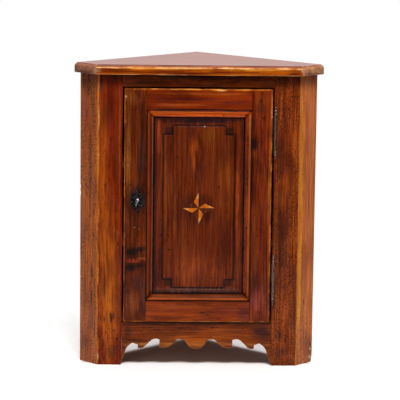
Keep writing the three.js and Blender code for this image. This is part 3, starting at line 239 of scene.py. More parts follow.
def point(x, y, z):
    """A place on the cupboard in the metres of the scene."""
    return Vector((x * MM, y * MM + FACE, z * MM))


def wavering(spot, waves, seed):
    """The slow unevenness of a planed face, from 0 to 1."""
    return noise.noise(spot * waves + Vector((seed, 0, 0))) * 0.5 + 0.5


def chipped(spot, chips):
    """How deep the chips near a spot have cut; each is (its place, radius, depth)."""
    return sum(max(0.0, 1 - (spot - point(*place)).length / (radius * MM)) * depth * MM
               for place, radius, depth in chips)


def finished_mesh(name, shaped):
    """The mesh of a form that has been shaped."""
    mesh = bpy.data.meshes.new(name)
    shaped.to_mesh(mesh)
    shaped.free()
    return mesh


def on_outer_edge(edge, corners):
    """True where both faces of an edge lie on the outside of the board."""
    middle = (edge.verts[0].co + edge.verts[1].co) / 2
    return all((corner - middle).dot(face.normal) <= 0.1 * MM
               for face in edge.link_faces for corner in corners)


def board_mesh(node, rounding, wander, seed, slice_axis, chips, chosen):
    """The sawn board with its chosen arrises eased, its faces a little uneven and its chips knocked off."""
    shaped = bmesh.new()
    shaped.from_mesh(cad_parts[node].data)
    bmesh.ops.remove_doubles(shaped, verts=shaped.verts, dist=TOUCHING)
    bmesh.ops.dissolve_limit(shaped, angle_limit=math.radians(0.5), verts=shaped.verts, edges=shaped.edges)
    corners = [v.co.copy() for v in shaped.verts]
    if slice_axis is not None:
        low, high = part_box(node)
        steps = int((high[slice_axis] - low[slice_axis]) / SLICE)
        normal = Vector([float(axis == slice_axis) for axis in range(3)])
        for step in range(1, steps):
            at = low + (high - low) * (step / steps)
            geometry = shaped.verts[:] + shaped.edges[:] + shaped.faces[:]
            bmesh.ops.bisect_plane(shaped, geom=geometry, plane_co=at, plane_no=normal, dist=TOUCHING)
    arrises = [e for e in shaped.edges if len(e.link_faces) == 2 and e.calc_face_angle(0) >= ARRIS_ANGLE]
    bmesh.ops.bevel(shaped, geom=[e for e in arrises if chosen(e, corners)], offset=rounding * MM,
                    offset_type="OFFSET", segments=3, profile=0.5, affect="EDGES", clamp_overlap=True)
    shaped.normal_update()
    for vertex in shaped.verts:
        vertex.co -= vertex.normal * (wander * MM * wavering(vertex.co, 38, seed) + chipped(vertex.co, chips))
    return finished_mesh(node, shaped)


def fit(name, mesh, materials, body, slot, *nodes):
    """A finished piece in its place: smooth where it is rounded, riding on its body, instead of its nodes."""
    piece = bpy.data.objects.new(name, mesh)
    bpy.context.scene.collection.objects.link(piece)
    for material in materials if isinstance(materials, list) else [materials]:
        mesh.materials.append(material)
    mesh.shade_smooth()
    mesh.set_sharp_from_angle(angle=SHARP_ANGLE)
    piece.modifiers.new("flat_faces", "WEIGHTED_NORMAL").weight = 100
    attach(piece, body)
    if nodes:
        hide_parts(*nodes)


def fit_board(node, material, slot, rounding=EDGE_ROUNDING, wander=0.3, seed=0, slice_axis=2, chips=(),
              chosen=on_outer_edge, body="carcass", stuff="wood"):
    """A board dressed from its sawn solid and fitted in its place."""
    mesh = board_mesh(node, rounding, wander, seed, slice_axis, chips, chosen)
    fit(f"{node}_{stuff}", mesh, material, body, slot, node)


STILE_WORN = "#cc6e10"
left_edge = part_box("left_front_stile")[0].x / MM
right_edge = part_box("right_front_stile")[1].x / MM
# Painted shadow: a dark band on the upper ends of the stiles and cants, where the top board shades them
TOP_PAINTED_SHADOW = (0, 840, 600, 34, "#1c0805", 0.8)
# Painted shade with some dirt: dark bands on the stiles along both sides of the door gap
LEFT_GAP_SHADE_AND_DIRT = (-210, 640, 6, 190, "#34120a", 0.75)
RIGHT_GAP_SHADE_AND_DIRT = (208, 460, 8, 430, "#1a0a06", 0.9)
# Golden brown with dark streaks along the grain. Where it meets the door it is dark red with painted shade
# and some dirt along the gap, and painted shadow of the top board darkens its upper end
left_stile_pine = stained_pine(
    "golden_stained_pine_left_stile", "#7a1f02", "#410902", "#410c02", STILE_WORN, seed=1, mottling=0.3,
    pitting=0.2, grooves=0.45, flaming=0.44, contrast=0.5, blotching=0.4, foot=(0.6, 300.0),
    arrises=[((left_edge, 0, 0), "z", 5, 0.85)],
    patches=[
        (-236, 660, 20, 190, "#5c1c04", 0.45), (-226, 520, 8, 330, "#561c06", 0.4),
        (-268, 500, 15, 300, "#a8540e", 0.4), (-248, 230, 26, 210, "#b85a0c", 0.75),
        (-252, 735, 22, 60, "#380e06", 0.5), (-243, 137, 4, 18, "#1c0c08", 0.9),
        (-236, 143, 2.5, 10, "#1c0c08", 0.8), (-262, 240, 3, 50, "#3a1408", 0.7),
        (-240, 205, 2.5, 30, "#4a1c0a", 0.6), (-236, 560, 3, 90, "#4a1c0a", 0.6),
        (-228, 300, 4, 90, "#7a2c08", 0.6), (-256, 330, 3, 70, "#6a2806", 0.6),
        (-222, 640, 2.5, 160, "#a8541a", 0.5), (-281, 24, 2.2, 12, "#ecca9c", 0.85),
        (-281, 705, 3.4, 34, "#e0a04c", 0.8), (-240, 40, 16, 22, "#34140e", 0.6),
        (-266, 60, 5, 16, "#2c100c", 0.6), (-226, 76, 3.5, 3.5, "#180a07", 0.9),
        (-276, 800, 8, 24, "#4a3a34", 0.6), LEFT_GAP_SHADE_AND_DIRT, TOP_PAINTED_SHADOW])
fit_board("left_front_stile", left_stile_pine, "golden_pine", seed=1,
          chips=[((-283, 0, 4), 12, 2.5), ((-283, 0, 40), 16, 1.2)])
# Redder and darker, pitted with holes and dirt that grow thicker towards the foot. Painted shade with some
# dirt darkens it along the door gap, and painted shadow of the top board darkens its upper end
right_stile_pine = stained_pine(
    "red_stained_pine_right_stile", "#8b390d", "#3d0f04", "#310c0b", "#a8602c", seed=2, mottling=0.85,
    pitting=0.5, grooves=0.5, flaming=0.5, foot=(1.0, 600.0), arrises=[((right_edge, 0, 0), "z", 3, 0.3)],
    patches=[
        (272, 600, 9, 160, "#a44c10", 0.5), (232, 400, 12, 150, "#34130d", 0.6),
        (244, 340, 20, 90, "#381610", 0.5), (228, 600, 9, 110, "#3c140a", 0.5),
        (244, 640, 26, 110, "#621c0a", 0.4), (250, 160, 20, 24, "#a8481c", 0.5),
        (270, 110, 10, 26, "#a85420", 0.5), (236, 90, 10, 16, "#3a1812", 0.7),
        (252, 76, 3, 12, "#180a08", 0.9), (240, 40, 30, 20, "#5a2418", 0.5), (262, 28, 12, 9, "#a0502a", 0.5),
        RIGHT_GAP_SHADE_AND_DIRT, TOP_PAINTED_SHADOW])
fit_board("right_front_stile", right_stile_pine, "red_pine", seed=2, chips=[((283, 0, 3), 10, 2.0)])

# Canted side boards
# Two narrower pine boards close the corners at 45 degrees, mitred to the stiles. The left one is dull and
# purplish, the right one pale and golden along the mitre and redder towards the wall. Both carry a painted
# shadow of the top board at their upper ends.
TURNED_LEFT = (0, 0, math.radians(45))
TURNED_RIGHT = (0, 0, math.radians(-45))
left_cant_pine = stained_pine(
    "purple_stained_pine_left_cant", "#af5b2b", "#692d13", "#6e3b34", STILE_WORN, grain=TURNED_LEFT, seed=3,
    mottling=0.7, pitting=0.3, grooves=0.6, contrast=0.3, flaming=0.42, blotching=0.45, foot=(0.7, 560.0),
    arrises=[((left_edge, 0, 0), "z", 6, 0.7), ((-334, 51, 540), "z", 3, 0.5)],
    patches=[
        (-312, 700, 9, 45, "#8e3420", 0.5), (-304, 560, 6, 140, "#54281c", 0.5),
        (-308, 800, 22, 34, "#501e14", 0.6), (-298, 740, 8, 40, "#5a2216", 0.6),
        (-322, 620, 10, 110, "#8c4426", 0.5), (-289, 250, 5, 200, "#a8601a", 0.5),
        (-299, 270, 2.5, 26, "#1c0c08", 0.85), (-300, 190, 2.5, 22, "#1c0c08", 0.8),
        (-318, 210, 2.5, 60, "#2c120c", 0.7), (-316, 60, 16, 26, "#44201a", 0.5), TOP_PAINTED_SHADOW])
fit_board("left_cant_board", left_cant_pine, "red_pine", seed=3,
          chips=[((-334, 51, 486), 8, 1.8), ((-334, 51, 505), 6, 1.4)])
right_cant_pine = stained_pine(
    "golden_stained_pine_right_cant", "#bf6532", "#853f0e", "#8f4830", "#c98a40", grain=TURNED_RIGHT, seed=4,
    mottling=0.2, pitting=0.3, grooves=0.15, foot=(0.7, 260.0), contrast=0.5, flaming=0.45, blotching=0.35,
    arrises=[((right_edge, 0, 0), "z", 4, 0.3), ((334, 51, 0), "z", 2, 0.6)],
    patches=[
        (290, 500, 6.5, 265, "#dc8418", 0.92), (290, 230, 7, 130, "#ee961a", 0.95),
        (307, 640, 4, 140, "#a84a34", 0.6), (314, 520, 3, 300, "#a04c3c", 0.5),
        (320, 380, 3, 130, "#b86c34", 0.6), (329, 500, 3, 330, "#94502c", 0.5),
        (312, 60, 14, 40, "#7a3c20", 0.6), (326, 40, 5, 26, "#3c1c14", 0.7), (300, 100, 3, 3, "#3a180c", 0.8),
        (327, 16, 4, 6, "#e6d0b8", 0.9), (328, 40, 3, 5, "#dcc0a4", 0.85), (306, 5, 2.6, 2.6, "#d0b49a", 0.7),
        TOP_PAINTED_SHADOW])
fit_board("right_cant_board", right_cant_pine, "golden_pine", seed=4,
          chips=[((334, 51, 4), 16, 3.0), ((300, 17, 2), 10, 2.0)])

# Frieze rail
# A narrow pine rail under the top board, tenoned into both stiles. It lies in the shadow of the top and has
# stayed the darkest board of the front, darkly stained and nearly black along its top with painted shadow.
LEVEL = (0, math.radians(90), 0)
frieze_pine = stained_pine(
    "dark_stained_pine_frieze_with_painted_shadow", "#752b02", "#1f0802", "#200402", "#8a4a1c", grain=LEVEL, seed=5, pitting=0.2,
    mottling=0.7,
    patches=[
        # The nearly black band along the top is painted shadow of the top board
        (-10, 829, 240, 12, "#0a0403", 0.9), (-150, 808, 80, 9, "#1a0906", 0.6),
        (-196, 812, 14, 12, "#5c1e10", 0.6), (60, 803, 90, 6, "#5a2406", 0.5)])
fit_board("frieze_rail", frieze_pine, "red_pine", rounding=0.6, wander=0.2, seed=5, slice_axis=0)

# Apron
# A pine board under the door, its lower edge fretted to a pendant, steps and arches, and nailed to the frame.
# The cut edge is rubbed paler than the face.
LONGEST_CUT = 20 * MM


def on_front_edge(edge, corners):
    """True for an arris of the front face."""
    front = min(corner.y for corner in corners)
    return all(v.co.y < front + TOUCHING for v in edge.verts)


def on_fretted_edge(edge, corners):
    """True for the front arris of the fretted lower edge, not for the ends of the board."""
    top = max(corner.z for corner in corners)
    start, end = (v.co for v in edge.verts)
    board_end = abs(start.x - end.x) < TOUCHING and abs(start.z - end.z) > LONGEST_CUT
    return on_front_edge(edge, corners) and max(start.z, end.z) < top - 1 * MM and not board_end


# Orange brown along the middle, dark along its top with painted shadow of the door, and pale along the
# rubbed edge of the fretting
apron_pine = stained_pine(
    "orange_stained_pine_apron", "#833505", "#361205", "#361205", "#e89a48", grain=LEVEL, seed=6, pitting=0.3,
    mottling=0.35, flaming=0.58, contrast=0.6, rim=1.0, arrises=[((0, 0, 60), "x", 7, 0.25)],
    patches=[
        # The dark band along the top, under the door, is painted shadow
        (0, 127, 300, 9, "#200e08", 0.85), (186, 98, 30, 26, "#2c1216", 0.85),
        (-196, 96, 12, 22, "#3c1a14", 0.6), (-90, 66, 70, 14, "#a04c10", 0.5),
        (60, 70, 100, 14, "#9a420c", 0.5), (100, 100, 40, 10, "#5a2410", 0.5),
        (-132, 110, 4, 2, "#140907", 0.95), (-44, 108, 3.4, 2, "#140907", 0.9),
        (46, 110, 5, 2.6, "#140907", 0.95)])
fit_board("apron", apron_pine, "golden_pine", rounding=2.0, wander=0.35, seed=6, slice_axis=None,
          chosen=on_fretted_edge)

# Rear post, backs and cleats
# Rough sawn pine that was never stained: a post in the corner, three upright boards along each wall nailed to
# cleats, and the cleats that carry the shelves. It has gone grey-brown with age and dust.
RAW_LIGHT, RAW_DARK, RAW_BLOTCH = "#b2704a", "#784228", "#684030"


def raw_pine(name, grain, seed, knots=(), patches=()):
    """Sawn pine gone brown with age: wide rings, no shine, and dusty."""
    return stained_pine(name, RAW_LIGHT, RAW_DARK, RAW_BLOTCH, RAW_LIGHT, grain, seed, ring=8, contrast=0.55,
                        flaming=0.3, blotching=0.4, pitting=0.2, knots=knots, patches=patches, roughness=0.8,
                        specular=0.3, coat=0.0)


SAWN_ROUNDING = 0.8
post_pine = raw_pine("raw_pine_rear_post", TURNED_LEFT, 20)
fit_board("rear_corner_post", post_pine, "raw_pine", SAWN_ROUNDING, seed=20)
for side, grain, direction in (("left", TURNED_RIGHT, -1), ("right", TURNED_LEFT, 1)):
    for count in (1, 2, 3):
        low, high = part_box(f"{side}_back_board_{count}")
        middle = (low.x + high.x) / 2 / MM
        knots = [(middle + 9 * direction, 240 + 130 * count, 11, 14, 9, 0.8),
                 (middle - 14, 690 - 150 * count, 8, 11, -7, 0.7)]
        joints = [(edge / MM, 430, 3.5, 900, "#1a100b", 0.9) for edge in (low.x, high.x)]
        seed = 20 + count + 4 * direction
        back_pine = raw_pine(f"raw_pine_{side}_back_{count}", grain, seed, knots, joints)
        fit_board(f"{side}_back_board_{count}", back_pine, "raw_pine", SAWN_ROUNDING, seed=count)
    cleat_pine = raw_pine(f"raw_pine_{side}_cleats", LEVEL, 30 + direction)
    for name in ("bottom", "lower", "upper", "top"):
        fit_board(f"{side}_{name}_cleat", cleat_pine, "raw_pine", rounding=1.0, wander=0.0, slice_axis=None)

# Bottom board and shelves
# Planed pine boards, cut to the corner, that rest loose on the cleats. They were never stained, and their
# front arrises are worn round.
for count, name in enumerate(("bottom_board", "lower_shelf", "upper_shelf"), 40):
    shelf_pine = raw_pine(f"raw_pine_{name}", LEVEL, count)
    fit_board(name, shelf_pine, "raw_pine", rounding=1.6, seed=count, slice_axis=0)

# Top board
# One thick pine board, worked along the front and both cants with a fillet and an ovolo. It is waxed reddish
# brown above and rubbed golden on the front edge, with a painted highlight along the ovolo and painted shade
# on the fillet above it; the cants show darker end grain, and one corner is chipped.
TOP_LOW, TOP_HIGH = (corner.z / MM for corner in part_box("top_board"))
TOP_CORNERS = [(-287.28, -24.0), (287.28, -24.0), (350.26, 38.98), (0.0, 389.24), (-350.26, 38.98)]
TOP_MOULDED = [True, True, False, False, True]
TOP_STEP = 9.0
OVOLO, FILLET, FILLET_BACK, LOWER_ARRIS, UPPER_ARRIS, LEDGE = 8.0, 2.5, 1.0, 2.0, 0.5, 0.3
ROUND_STEPS = 7
ovolo_foot = TOP_HIGH - FILLET - OVOLO
fillet_face = OVOLO + FILLET_BACK
top_profile = [(LOWER_ARRIS, TOP_LOW), (LOWER_ARRIS * 0.3, TOP_LOW + LOWER_ARRIS * 0.3),
               (0.0, TOP_LOW + LOWER_ARRIS), (0.0, TOP_LOW + 9), (0.0, ovolo_foot - 0.6), (LEDGE, ovolo_foot)]
for step in range(1, ROUND_STEPS + 1):
    turn = math.pi / 2 * step / ROUND_STEPS
    top_profile.append((LEDGE + (OVOLO - LEDGE) * (1 - math.cos(turn)), ovolo_foot + OVOLO * math.sin(turn)))
top_profile += [(fillet_face, TOP_HIGH - FILLET), (fillet_face, TOP_HIGH - UPPER_ARRIS),
                (fillet_face + UPPER_ARRIS, TOP_HIGH)]


def skin(shaped, rings, capped=True):
    """Faces from each ring of corners to the next and over the ends; a ring of one corner is a point."""
    for below, above in zip(rings, rings[1:]):
        around = max(len(below), len(above))
        for count in range(around):
            after = count + 1
            corners = [below[count % len(below)], below[after % len(below)],
                       above[after % len(above)], above[count % len(above)]]
            shaped.faces.new(list(dict.fromkeys(corners)))
    for end in (rings[-1], rings[0][::-1]):
        if capped and len(end) > 2:
            shaped.faces.new(end)
    bmesh.ops.recalc_face_normals(shaped, faces=shaped.faces)


def inset_outline(inset):
    """The plan of the top drawn in by an inset along its moulded sides."""
    lines = []
    for count, start in enumerate(TOP_CORNERS):
        end = TOP_CORNERS[(count + 1) % len(TOP_CORNERS)]
        along = (Vector(end) - Vector(start)).normalized()
        inward = Vector((-along.y, along.x)) * (inset if TOP_MOULDED[count] else 0.0)
        lines.append((Vector(start) + inward, along))
    points = []
    for (a, u), (b, v) in zip(lines[-1:] + lines, lines):
        share = ((b - a).x * v.y - (b - a).y * v.x) / (u.x * v.y - u.y * v.x)
        points.append(a + u * share)
    return points


top_shape = bmesh.new()
rings = []
for inset, z in top_profile:
    outline = inset_outline(inset)
    ring = []
    for count, start in enumerate(outline):
        after = (count + 1) % len(outline)
        steps = int(math.dist(TOP_CORNERS[count], TOP_CORNERS[after]) / TOP_STEP)
        for step in range(steps):
            x, y = start.lerp(outline[after], step / steps)
            ring.append(top_shape.verts.new(point(x, y, z)))
    rings.append(ring)
skin(top_shape, rings)
bmesh.ops.triangulate(top_shape, faces=[f for f in top_shape.faces if len(f.verts) > 4])
top_shape.normal_update()
TOP_CHIPS = [((288, -22, 845), 9, 2.2), ((-287, -23, 840), 7, 1.6), ((296, -14, 852), 6, 1.2),
             ((-318, 8, 846), 5, 1.0), ((120, -24, 834), 8, 0.9), ((-60, -24, 834), 10, 0.8),
             ((200, -24, 834), 6, 0.8)]
for vertex in top_shape.verts:
    sink = 0.35 * MM * wavering(vertex.co, 30, 9) + chipped(vertex.co, TOP_CHIPS)
    if abs(vertex.normal.z) < 0.99:
        vertex.co -= vertex.normal * sink
top_mesh = finished_mesh("top_board", top_shape)
for face in top_mesh.polygons:
    face.material_index = 0 if face.normal.z > 0.95 else (2 if abs(face.normal.x) > 0.45 else 1)
# Waxed and smooth above, so that it mirrors the light behind it; the edges are rubbed and duller
top_wax = stained_pine(
    "waxed_red_pine_top", "#7b2e0d", "#621f05", "#511503", "#a8643c", grain=LEVEL, seed=7, ring=9,
    contrast=0.6, flaming=0.3, mottling=0.0, blotching=0.06, pitting=0.0, roughness=0.32, specular=0.32,
    coat=0.05, relief=0.04)
top_edge = stained_pine(
    "golden_stained_pine_top_edge", "#a74a02", "#561002", "#541002", "#eaae6c", grain=LEVEL, seed=8, ring=5,
    contrast=0.85, pitting=0.15, mottling=0.3, specular=0.07, coat=0.0,
    # The golden band along the ovolo is rubbed wood and painted highlight; the dark band on the fillet at the
    # top is painted shade
    arrises=[((0, -24, 833), "x", 2.2, 0.5), ((0, -22, 852), "x", 3.6, 0.9)],
    patches=[
        (-235, 841, 60, 5, "#581a04", 0.7), (90, 842, 60, 3.4, "#5c1806", 0.75),
        (150, 841, 26, 3, "#5c1a06", 0.7), (-20, 838, 120, 3.0, "#641c06", 0.75),
        (160, 849, 90, 2.6, "#d08a28", 0.5), (-120, 850, 110, 2.6, "#cc8426", 0.5),
        (-110, 842, 46, 3, "#6c2408", 0.6), (262, 838, 16, 6, "#3c1610", 0.7),
        (-284, 845, 9, 6, "#c89a70", 0.8), (291, 847, 7, 4.0, "#fff2dc", 0.95),
        (0, 859, 300, 2.2, "#5a280c", 0.7)])
top_ends = stained_pine(
    "end_grain_pine_top_cants", "#b37a5e", "#582c2a", "#492722", "#c08458", grain=LEVEL, seed=9, ring=3.2,
    contrast=0.25, flaming=0.3, mottling=0.12, pitting=0.15,
    patches=[
        (-322, 836, 30, 6, "#40221a", 0.85), (-292, 845, 6, 6, "#d0a078", 0.7),
        (322, 852, 30, 5, "#c88c50", 0.6), (-318, 858, 24, 2, "#5a3020", 0.6),
        (324, 836, 24, 3, "#6c2c22", 0.5), (-318, 846, 26, 14, "#6a3c26", 0.6),
        (322, 848, 26, 12, "#cc8c58", 0.5), (306, 838, 14, 5, "#5a2a24", 0.6)])
fit("top_board_wood", top_mesh, [top_wax, top_edge, top_ends], "carcass", "top_pine", "top_board")

# Door frame
# Two stiles and two rails of pine, tenoned, draw-bored and pegged. The stain has gone nearly black round the
# lock and the knots, and the arrises are worn golden.
DOOR_LEFT, DOOR_RIGHT, DOOR_LOW, DOOR_HIGH, DOOR_FACE = -208.5, 205.5, 128.0, 793.0, -8.0
DOOR_WORN = "#c06a1e"
door_arrises = [((DOOR_LEFT, DOOR_FACE, 0), "z", 3.2, 0.7), ((DOOR_RIGHT, DOOR_FACE, 0), "z", 6, 0.75),
                ((0, DOOR_FACE, DOOR_HIGH), "x", 5.0, 0.85), ((0, DOOR_FACE, DOOR_LOW), "x", 3.0, 0.7)]
door_chips = [((10, -8, 793), 12, 1.4), ((168, -8, 793), 14, 1.6), ((-205, -8, 780), 10, 1.0),
              ((180, -8, 128), 12, 1.2), ((205, -8, 600), 16, 0.8), ((205, -8, 420), 20, 0.9),
              ((-208, -8, 330), 14, 0.8)]
# Olive and nearly black round the lock, with two dark bars of stain over a red one below it
lock_stile_pine = stained_pine(
    "olive_stained_pine_lock_stile", "#612102", "#280502", "#220502", DOOR_WORN, seed=10, ring=7,
    blotching=0.6, mottling=0.4, arrises=door_arrises, marked_depth=5, knots=[(-205, 300, 16, 22, 26, 0.6)],
    patches=[
        (-197, 620, 7, 150, "#8a4c18", 0.5), (-188, 765, 20, 22, "#843f12", 0.5),
        (-162, 600, 9, 80, "#2c2019", 0.7), (-172, 482, 27, 42, "#1e1512", 0.85),
        (-178, 312, 30, 34, "#1c0e0b", 0.5), (-190, 330, 20, 13, "#140a08", 0.95),
        (-160, 337, 16, 9, "#180c0a", 0.95), (-186, 303, 22, 5.5, "#96341a", 0.8),
        (-156, 310, 14, 5, "#943a20", 0.75), (-190, 284, 20, 10, "#120a08", 0.95),
        (-162, 290, 16, 8, "#160c0a", 0.9), (-166, 240, 22, 24, "#34191a", 0.55),
        # The orange patch low on the stile is painted light, making up for the lamps falling off towards the
        # floor
        (-154, 190, 8, 40, "#38191c", 0.6), (-186, 180, 20, 34, "#8c4420", 0.45),
        (-200, 420, 6, 50, "#7a3c1c", 0.45), (-178, 400, 4, 1.2, "#c09078", 0.6),
        (-166, 394, 1.2, 3.4, "#b88868", 0.5), (-198, 577, 1.4, 2.4, "#d8a888", 0.8),
        (-205, 770, 3, 3, "#c89080", 0.6), (-206, 700, 2.4, 5, "#c88a5c", 0.7)])
# Dark red with two knots on its left edge and a golden flame down its right
hinge_stile_pine = stained_pine(
    "red_stained_pine_hinge_stile", "#722607", "#320a04", "#240704", DOOR_WORN, seed=11, ring=6, mottling=0.3,
    pitting=0.3, arrises=door_arrises, marked_depth=5,
    knots=[(156, 634, 18, 30, 34, 0.8), (196, 520, 8, 60, -10, 0.0)],
    patches=[
        (156, 640, 11, 20, "#120e0e", 1.0), (180, 640, 14, 50, "#8c2c12", 0.5),
        (166, 700, 14, 30, "#8a2e10", 0.5), (152, 684, 5, 34, "#1e1412", 0.8),
        (151, 560, 3.4, 90, "#1c0e0b", 0.85), (150, 420, 3, 110, "#2c120c", 0.7),
        (168, 590, 3, 36, "#2c140e", 0.7), (176, 660, 3, 40, "#4a1a0c", 0.6),
        (199, 560, 3, 120, "#c4621a", 0.65), (200, 380, 3, 110, "#b8581a", 0.65),
        (160, 330, 6, 90, "#7c3c1c", 0.4), (173, 761, 4, 4, "#140a08", 0.9),
        (181, 713, 3, 3, "#0c0605", 0.95), (181, 713, 8, 8, "#4c1c0c", 0.6),
        (176, 740, 16, 14, "#4c200c", 0.5), (160, 205, 14, 34, "#481c24", 0.55),
        # The red patch low on the stile is painted light, making up for the lamps falling off towards the
        # floor
        (182, 420, 7, 60, "#3a1410", 0.5), (178, 190, 20, 44, "#9a4030", 0.6),
        (184, 130, 6, 1.4, "#cc9a6c", 0.6)])
# The rails are plainer and orange red, darkest under the mouldings
top_rail_pine = stained_pine(
    "orange_stained_pine_top_rail", "#752302", "#3d0e02", "#330602", "#dc8a2c", grain=LEVEL, seed=12,
    pitting=0.1, mottling=0.15, flaming=0.36, contrast=0.5, arrises=door_arrises, marked_depth=5,
    patches=[
        (-20, 764, 90, 4.5, "#40121a", 0.6), (90, 756, 50, 4, "#4a1a18", 0.5),
        (0, 779, 150, 4, "#a85010", 0.4), (-60, 748, 80, 3.5, "#a0481a", 0.6),
        (0, 735, 170, 2.2, "#1a0907", 0.95), (60, 789, 14, 2, "#e8b868", 0.7)])
bottom_rail_pine = stained_pine(
    "red_stained_pine_bottom_rail", "#833005", "#3e1105", "#3d0e05", "#c08040", grain=LEVEL, seed=13,
    pitting=0.15, mottling=0.15, flaming=0.4, contrast=0.5, arrises=door_arrises, marked_depth=5,
    patches=[
        (16, 155, 9, 2.4, "#1e0c0a", 0.9), (30, 149, 7, 2.2, "#1e0c0a", 0.9), (62, 137, 6, 2, "#1e0c0a", 0.8),
        (-60, 172, 70, 8, "#98421a", 0.5), (90, 160, 60, 16, "#642019", 0.4),
        (136, 152, 20, 30, "#481a1c", 0.55)])
for name, axis, material, slot in (
        ("lock_stile", 2, lock_stile_pine, "golden_pine"), ("hinge_stile", 2, hinge_stile_pine, "red_pine"),
        ("top_rail", 0, top_rail_pine, "red_pine"), ("bottom_rail", 0, bottom_rail_pine, "golden_pine")):
    fit_board(f"door_{name}", material, slot, rounding=1.2, wander=0.25, seed=10 + axis, slice_axis=axis,
              chips=door_chips, body="door")

# Door panel
# One wide pine board, its margins planed down to a raised field with notched corners. Dirt and painted
# shade darken the step round the field and the margins along the mouldings; the notches and the top margin
# under the top moulding are darkened with painted shade.
FIELD = (1.5, 457.5, 99.0, 229.5, 26.0, 24.0)
PANEL_OPENING = (1.5, 460.5, 128.0, 252.5, 0.0, 0.0)
STAR_PLACE, STAR_ROOM = (1.5, 455.0), 50.0
NOTCH_ASIDE, NOTCH_ABOVE, NOTCH_SIZE = 85.0, 216.5, (10.0, 9.5, 0.0, 0.0)
# Painted shade: a dark square in the corner of each notch
NOTCHES_PAINTED_SHADE = [((FIELD[0] + x, FIELD[1] + z, *NOTCH_SIZE), -30.0, 0.6, "#20110c", 0.75)
           for x in (-NOTCH_ASIDE, NOTCH_ASIDE) for z in (-NOTCH_ABOVE, NOTCH_ABOVE)]


def on_field_edge(edge, corners):
    """True for the front arris of the field, away from the pockets of the star."""
    across, up = STAR_PLACE
    clear = all(math.hypot(v.co.x / MM - across, v.co.z / MM - up) > STAR_ROOM for v in edge.verts)
    return clear and on_front_edge(edge, corners)


# Brown with an almond of flame over the star, nearly black with painted shade and dirt in the step and along
# the mouldings, and with painted shade in the notches
panel_pine = stained_pine(
    "dark_stained_pine_panel", "#652307", "#2f0b05", "#250705", "#b06030", seed=14, ring=8, contrast=0.65,
    blotching=0.4, flaming=0.5, specular=0.1, coat=0.02, marked_depth=5,
    knots=[(-12.5, 612, 16, 80, 20, 0.0)],
    patches=[
        (-13, 612, 19, 62, "#38100a", 0.55), (-13, 628, 11, 27, "#a03c0c", 0.95),
        (-12.6, 586, 5, 34, "#9c3c0e", 0.9), (-8, 615, 1.8, 3, "#240e08", 0.95),
        (16, 687, 2.6, 1.7, "#c4ac98", 0.85), (2, 452, 46, 40, "#180805", 0.8),
        (-84, 376, 2.6, 2.6, "#0e0605", 1.0), (-80, 335, 5, 2, "#0e0605", 0.9),
        (-78, 254, 5, 2.4, "#180907", 0.9), (67, 282, 2.6, 2.6, "#0e0605", 0.95),
        (-92, 470, 4.5, 190, "#96481a", 0.45), (62, 560, 5, 90, "#8c4a10", 0.25),
        (84, 520, 5, 120, "#90480e", 0.35), (-40, 340, 10, 70, "#8a3c14", 0.4),
        # The dark band across the top margin, under the top moulding, is painted shade
        (-66, 440, 6, 60, "#7c3c10", 0.4), (0, 702, 110, 9, "#1c1016", 0.95),
        (-113, 655, 7, 56, "#a03c10", 0.65), (0, 640, 84, 50, "#4a1604", 0.3),
        (10, 275, 84, 44, "#a0441e", 0.45), (30, 660, 20, 30, "#6a3408", 0.4),
        (0, 219, 110, 8, "#6e443c", 0.85), (112, 470, 5, 180, "#983a10", 0.7),
        (-114, 470, 4, 180, "#70281a", 0.4)],
    # Painted shade with some dirt: a dark band on the margins along the mouldings, a dark line in the step
    # round the field and a nearly black line at the edge of the mouldings
    outlines=NOTCHES_PAINTED_SHADE + [(PANEL_OPENING, -10.0, 4.0, "#1e0e0e", 0.6), (FIELD, -0.6, 5.0, "#120909", 0.75),
              (PANEL_OPENING, -3.6, 4.0, "#0a0606", 0.95)])
fit_board("door_panel", panel_pine, "dark_pine", rounding=1.9, wander=0.0, slice_axis=None,
          chosen=on_field_edge, body="door")

# Star inlay
# Eight slips of veneer let flush into the field and glued, four of pale wood and four of dark, so that each
# point looks folded. The pale ones are lighter towards their tips.
star_light = stained_pine(
    "pale_maple_star_veneer", "#b85a12", "#883a0a", "#7a3408", "#e0a060", seed=15, ring=2.6, contrast=0.4,
    flaming=0.4, blotching=0.3, mottling=0.0, pitting=0.0,
    outlines=[((1.5, 455.0, 28.0, 28.0, 0.0, 0.0), 0.0, 30.0, "#dc9450", 0.65)])
star_dark = stained_pine(
    "dark_walnut_star_veneer", "#5a2410", "#3a1409", "#2e1008", "#5a2410", seed=16, ring=2.6, contrast=0.4,
    mottling=0.0, pitting=0.0)
for count in (1, 2, 3, 4):
    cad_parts[f"star_light_{count}"].material_slots[0].material = star_light
    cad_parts[f"star_dark_{count}"].material_slots[0].material = star_dark

# Panel mouldings
# Four lengths of pine run with a quirk and an ogee, mitred round the panel and planted against the frame.
# Dirt lies along both edges of each, with painted shade at the inner one and a painted grey highlight line
# beside it, and its round is rubbed orange.
FRAME_INSIDE = (-146.5, 149.5, 188.0, 733.0)
MITRE_GAP = 0.3
OGEE_START, OGEE_WIDE, OGEE_DEEP = (3.3, -9.4), 13.7, 8.4
OGEE_STEPS, MOULDING_STEPS = 14, 30
moulding_profile = [(0.3, 3.7), (0.3, -9.0), (0.8, -9.5), (2.0, -9.5), (2.4, -8.7), (3.0, -8.7), OGEE_START]
for step in range(1, OGEE_STEPS + 1):
    share = step / OGEE_STEPS
    sunk = (1 - math.cos(math.pi * share)) / 2
    moulding_profile.append((OGEE_START[0] + OGEE_WIDE * share, OGEE_START[1] + OGEE_DEEP * sunk))
moulding_profile += [(17.0, 0.0), (19.4, 0.1), (20.0, 0.6), (20.0, 3.7)]


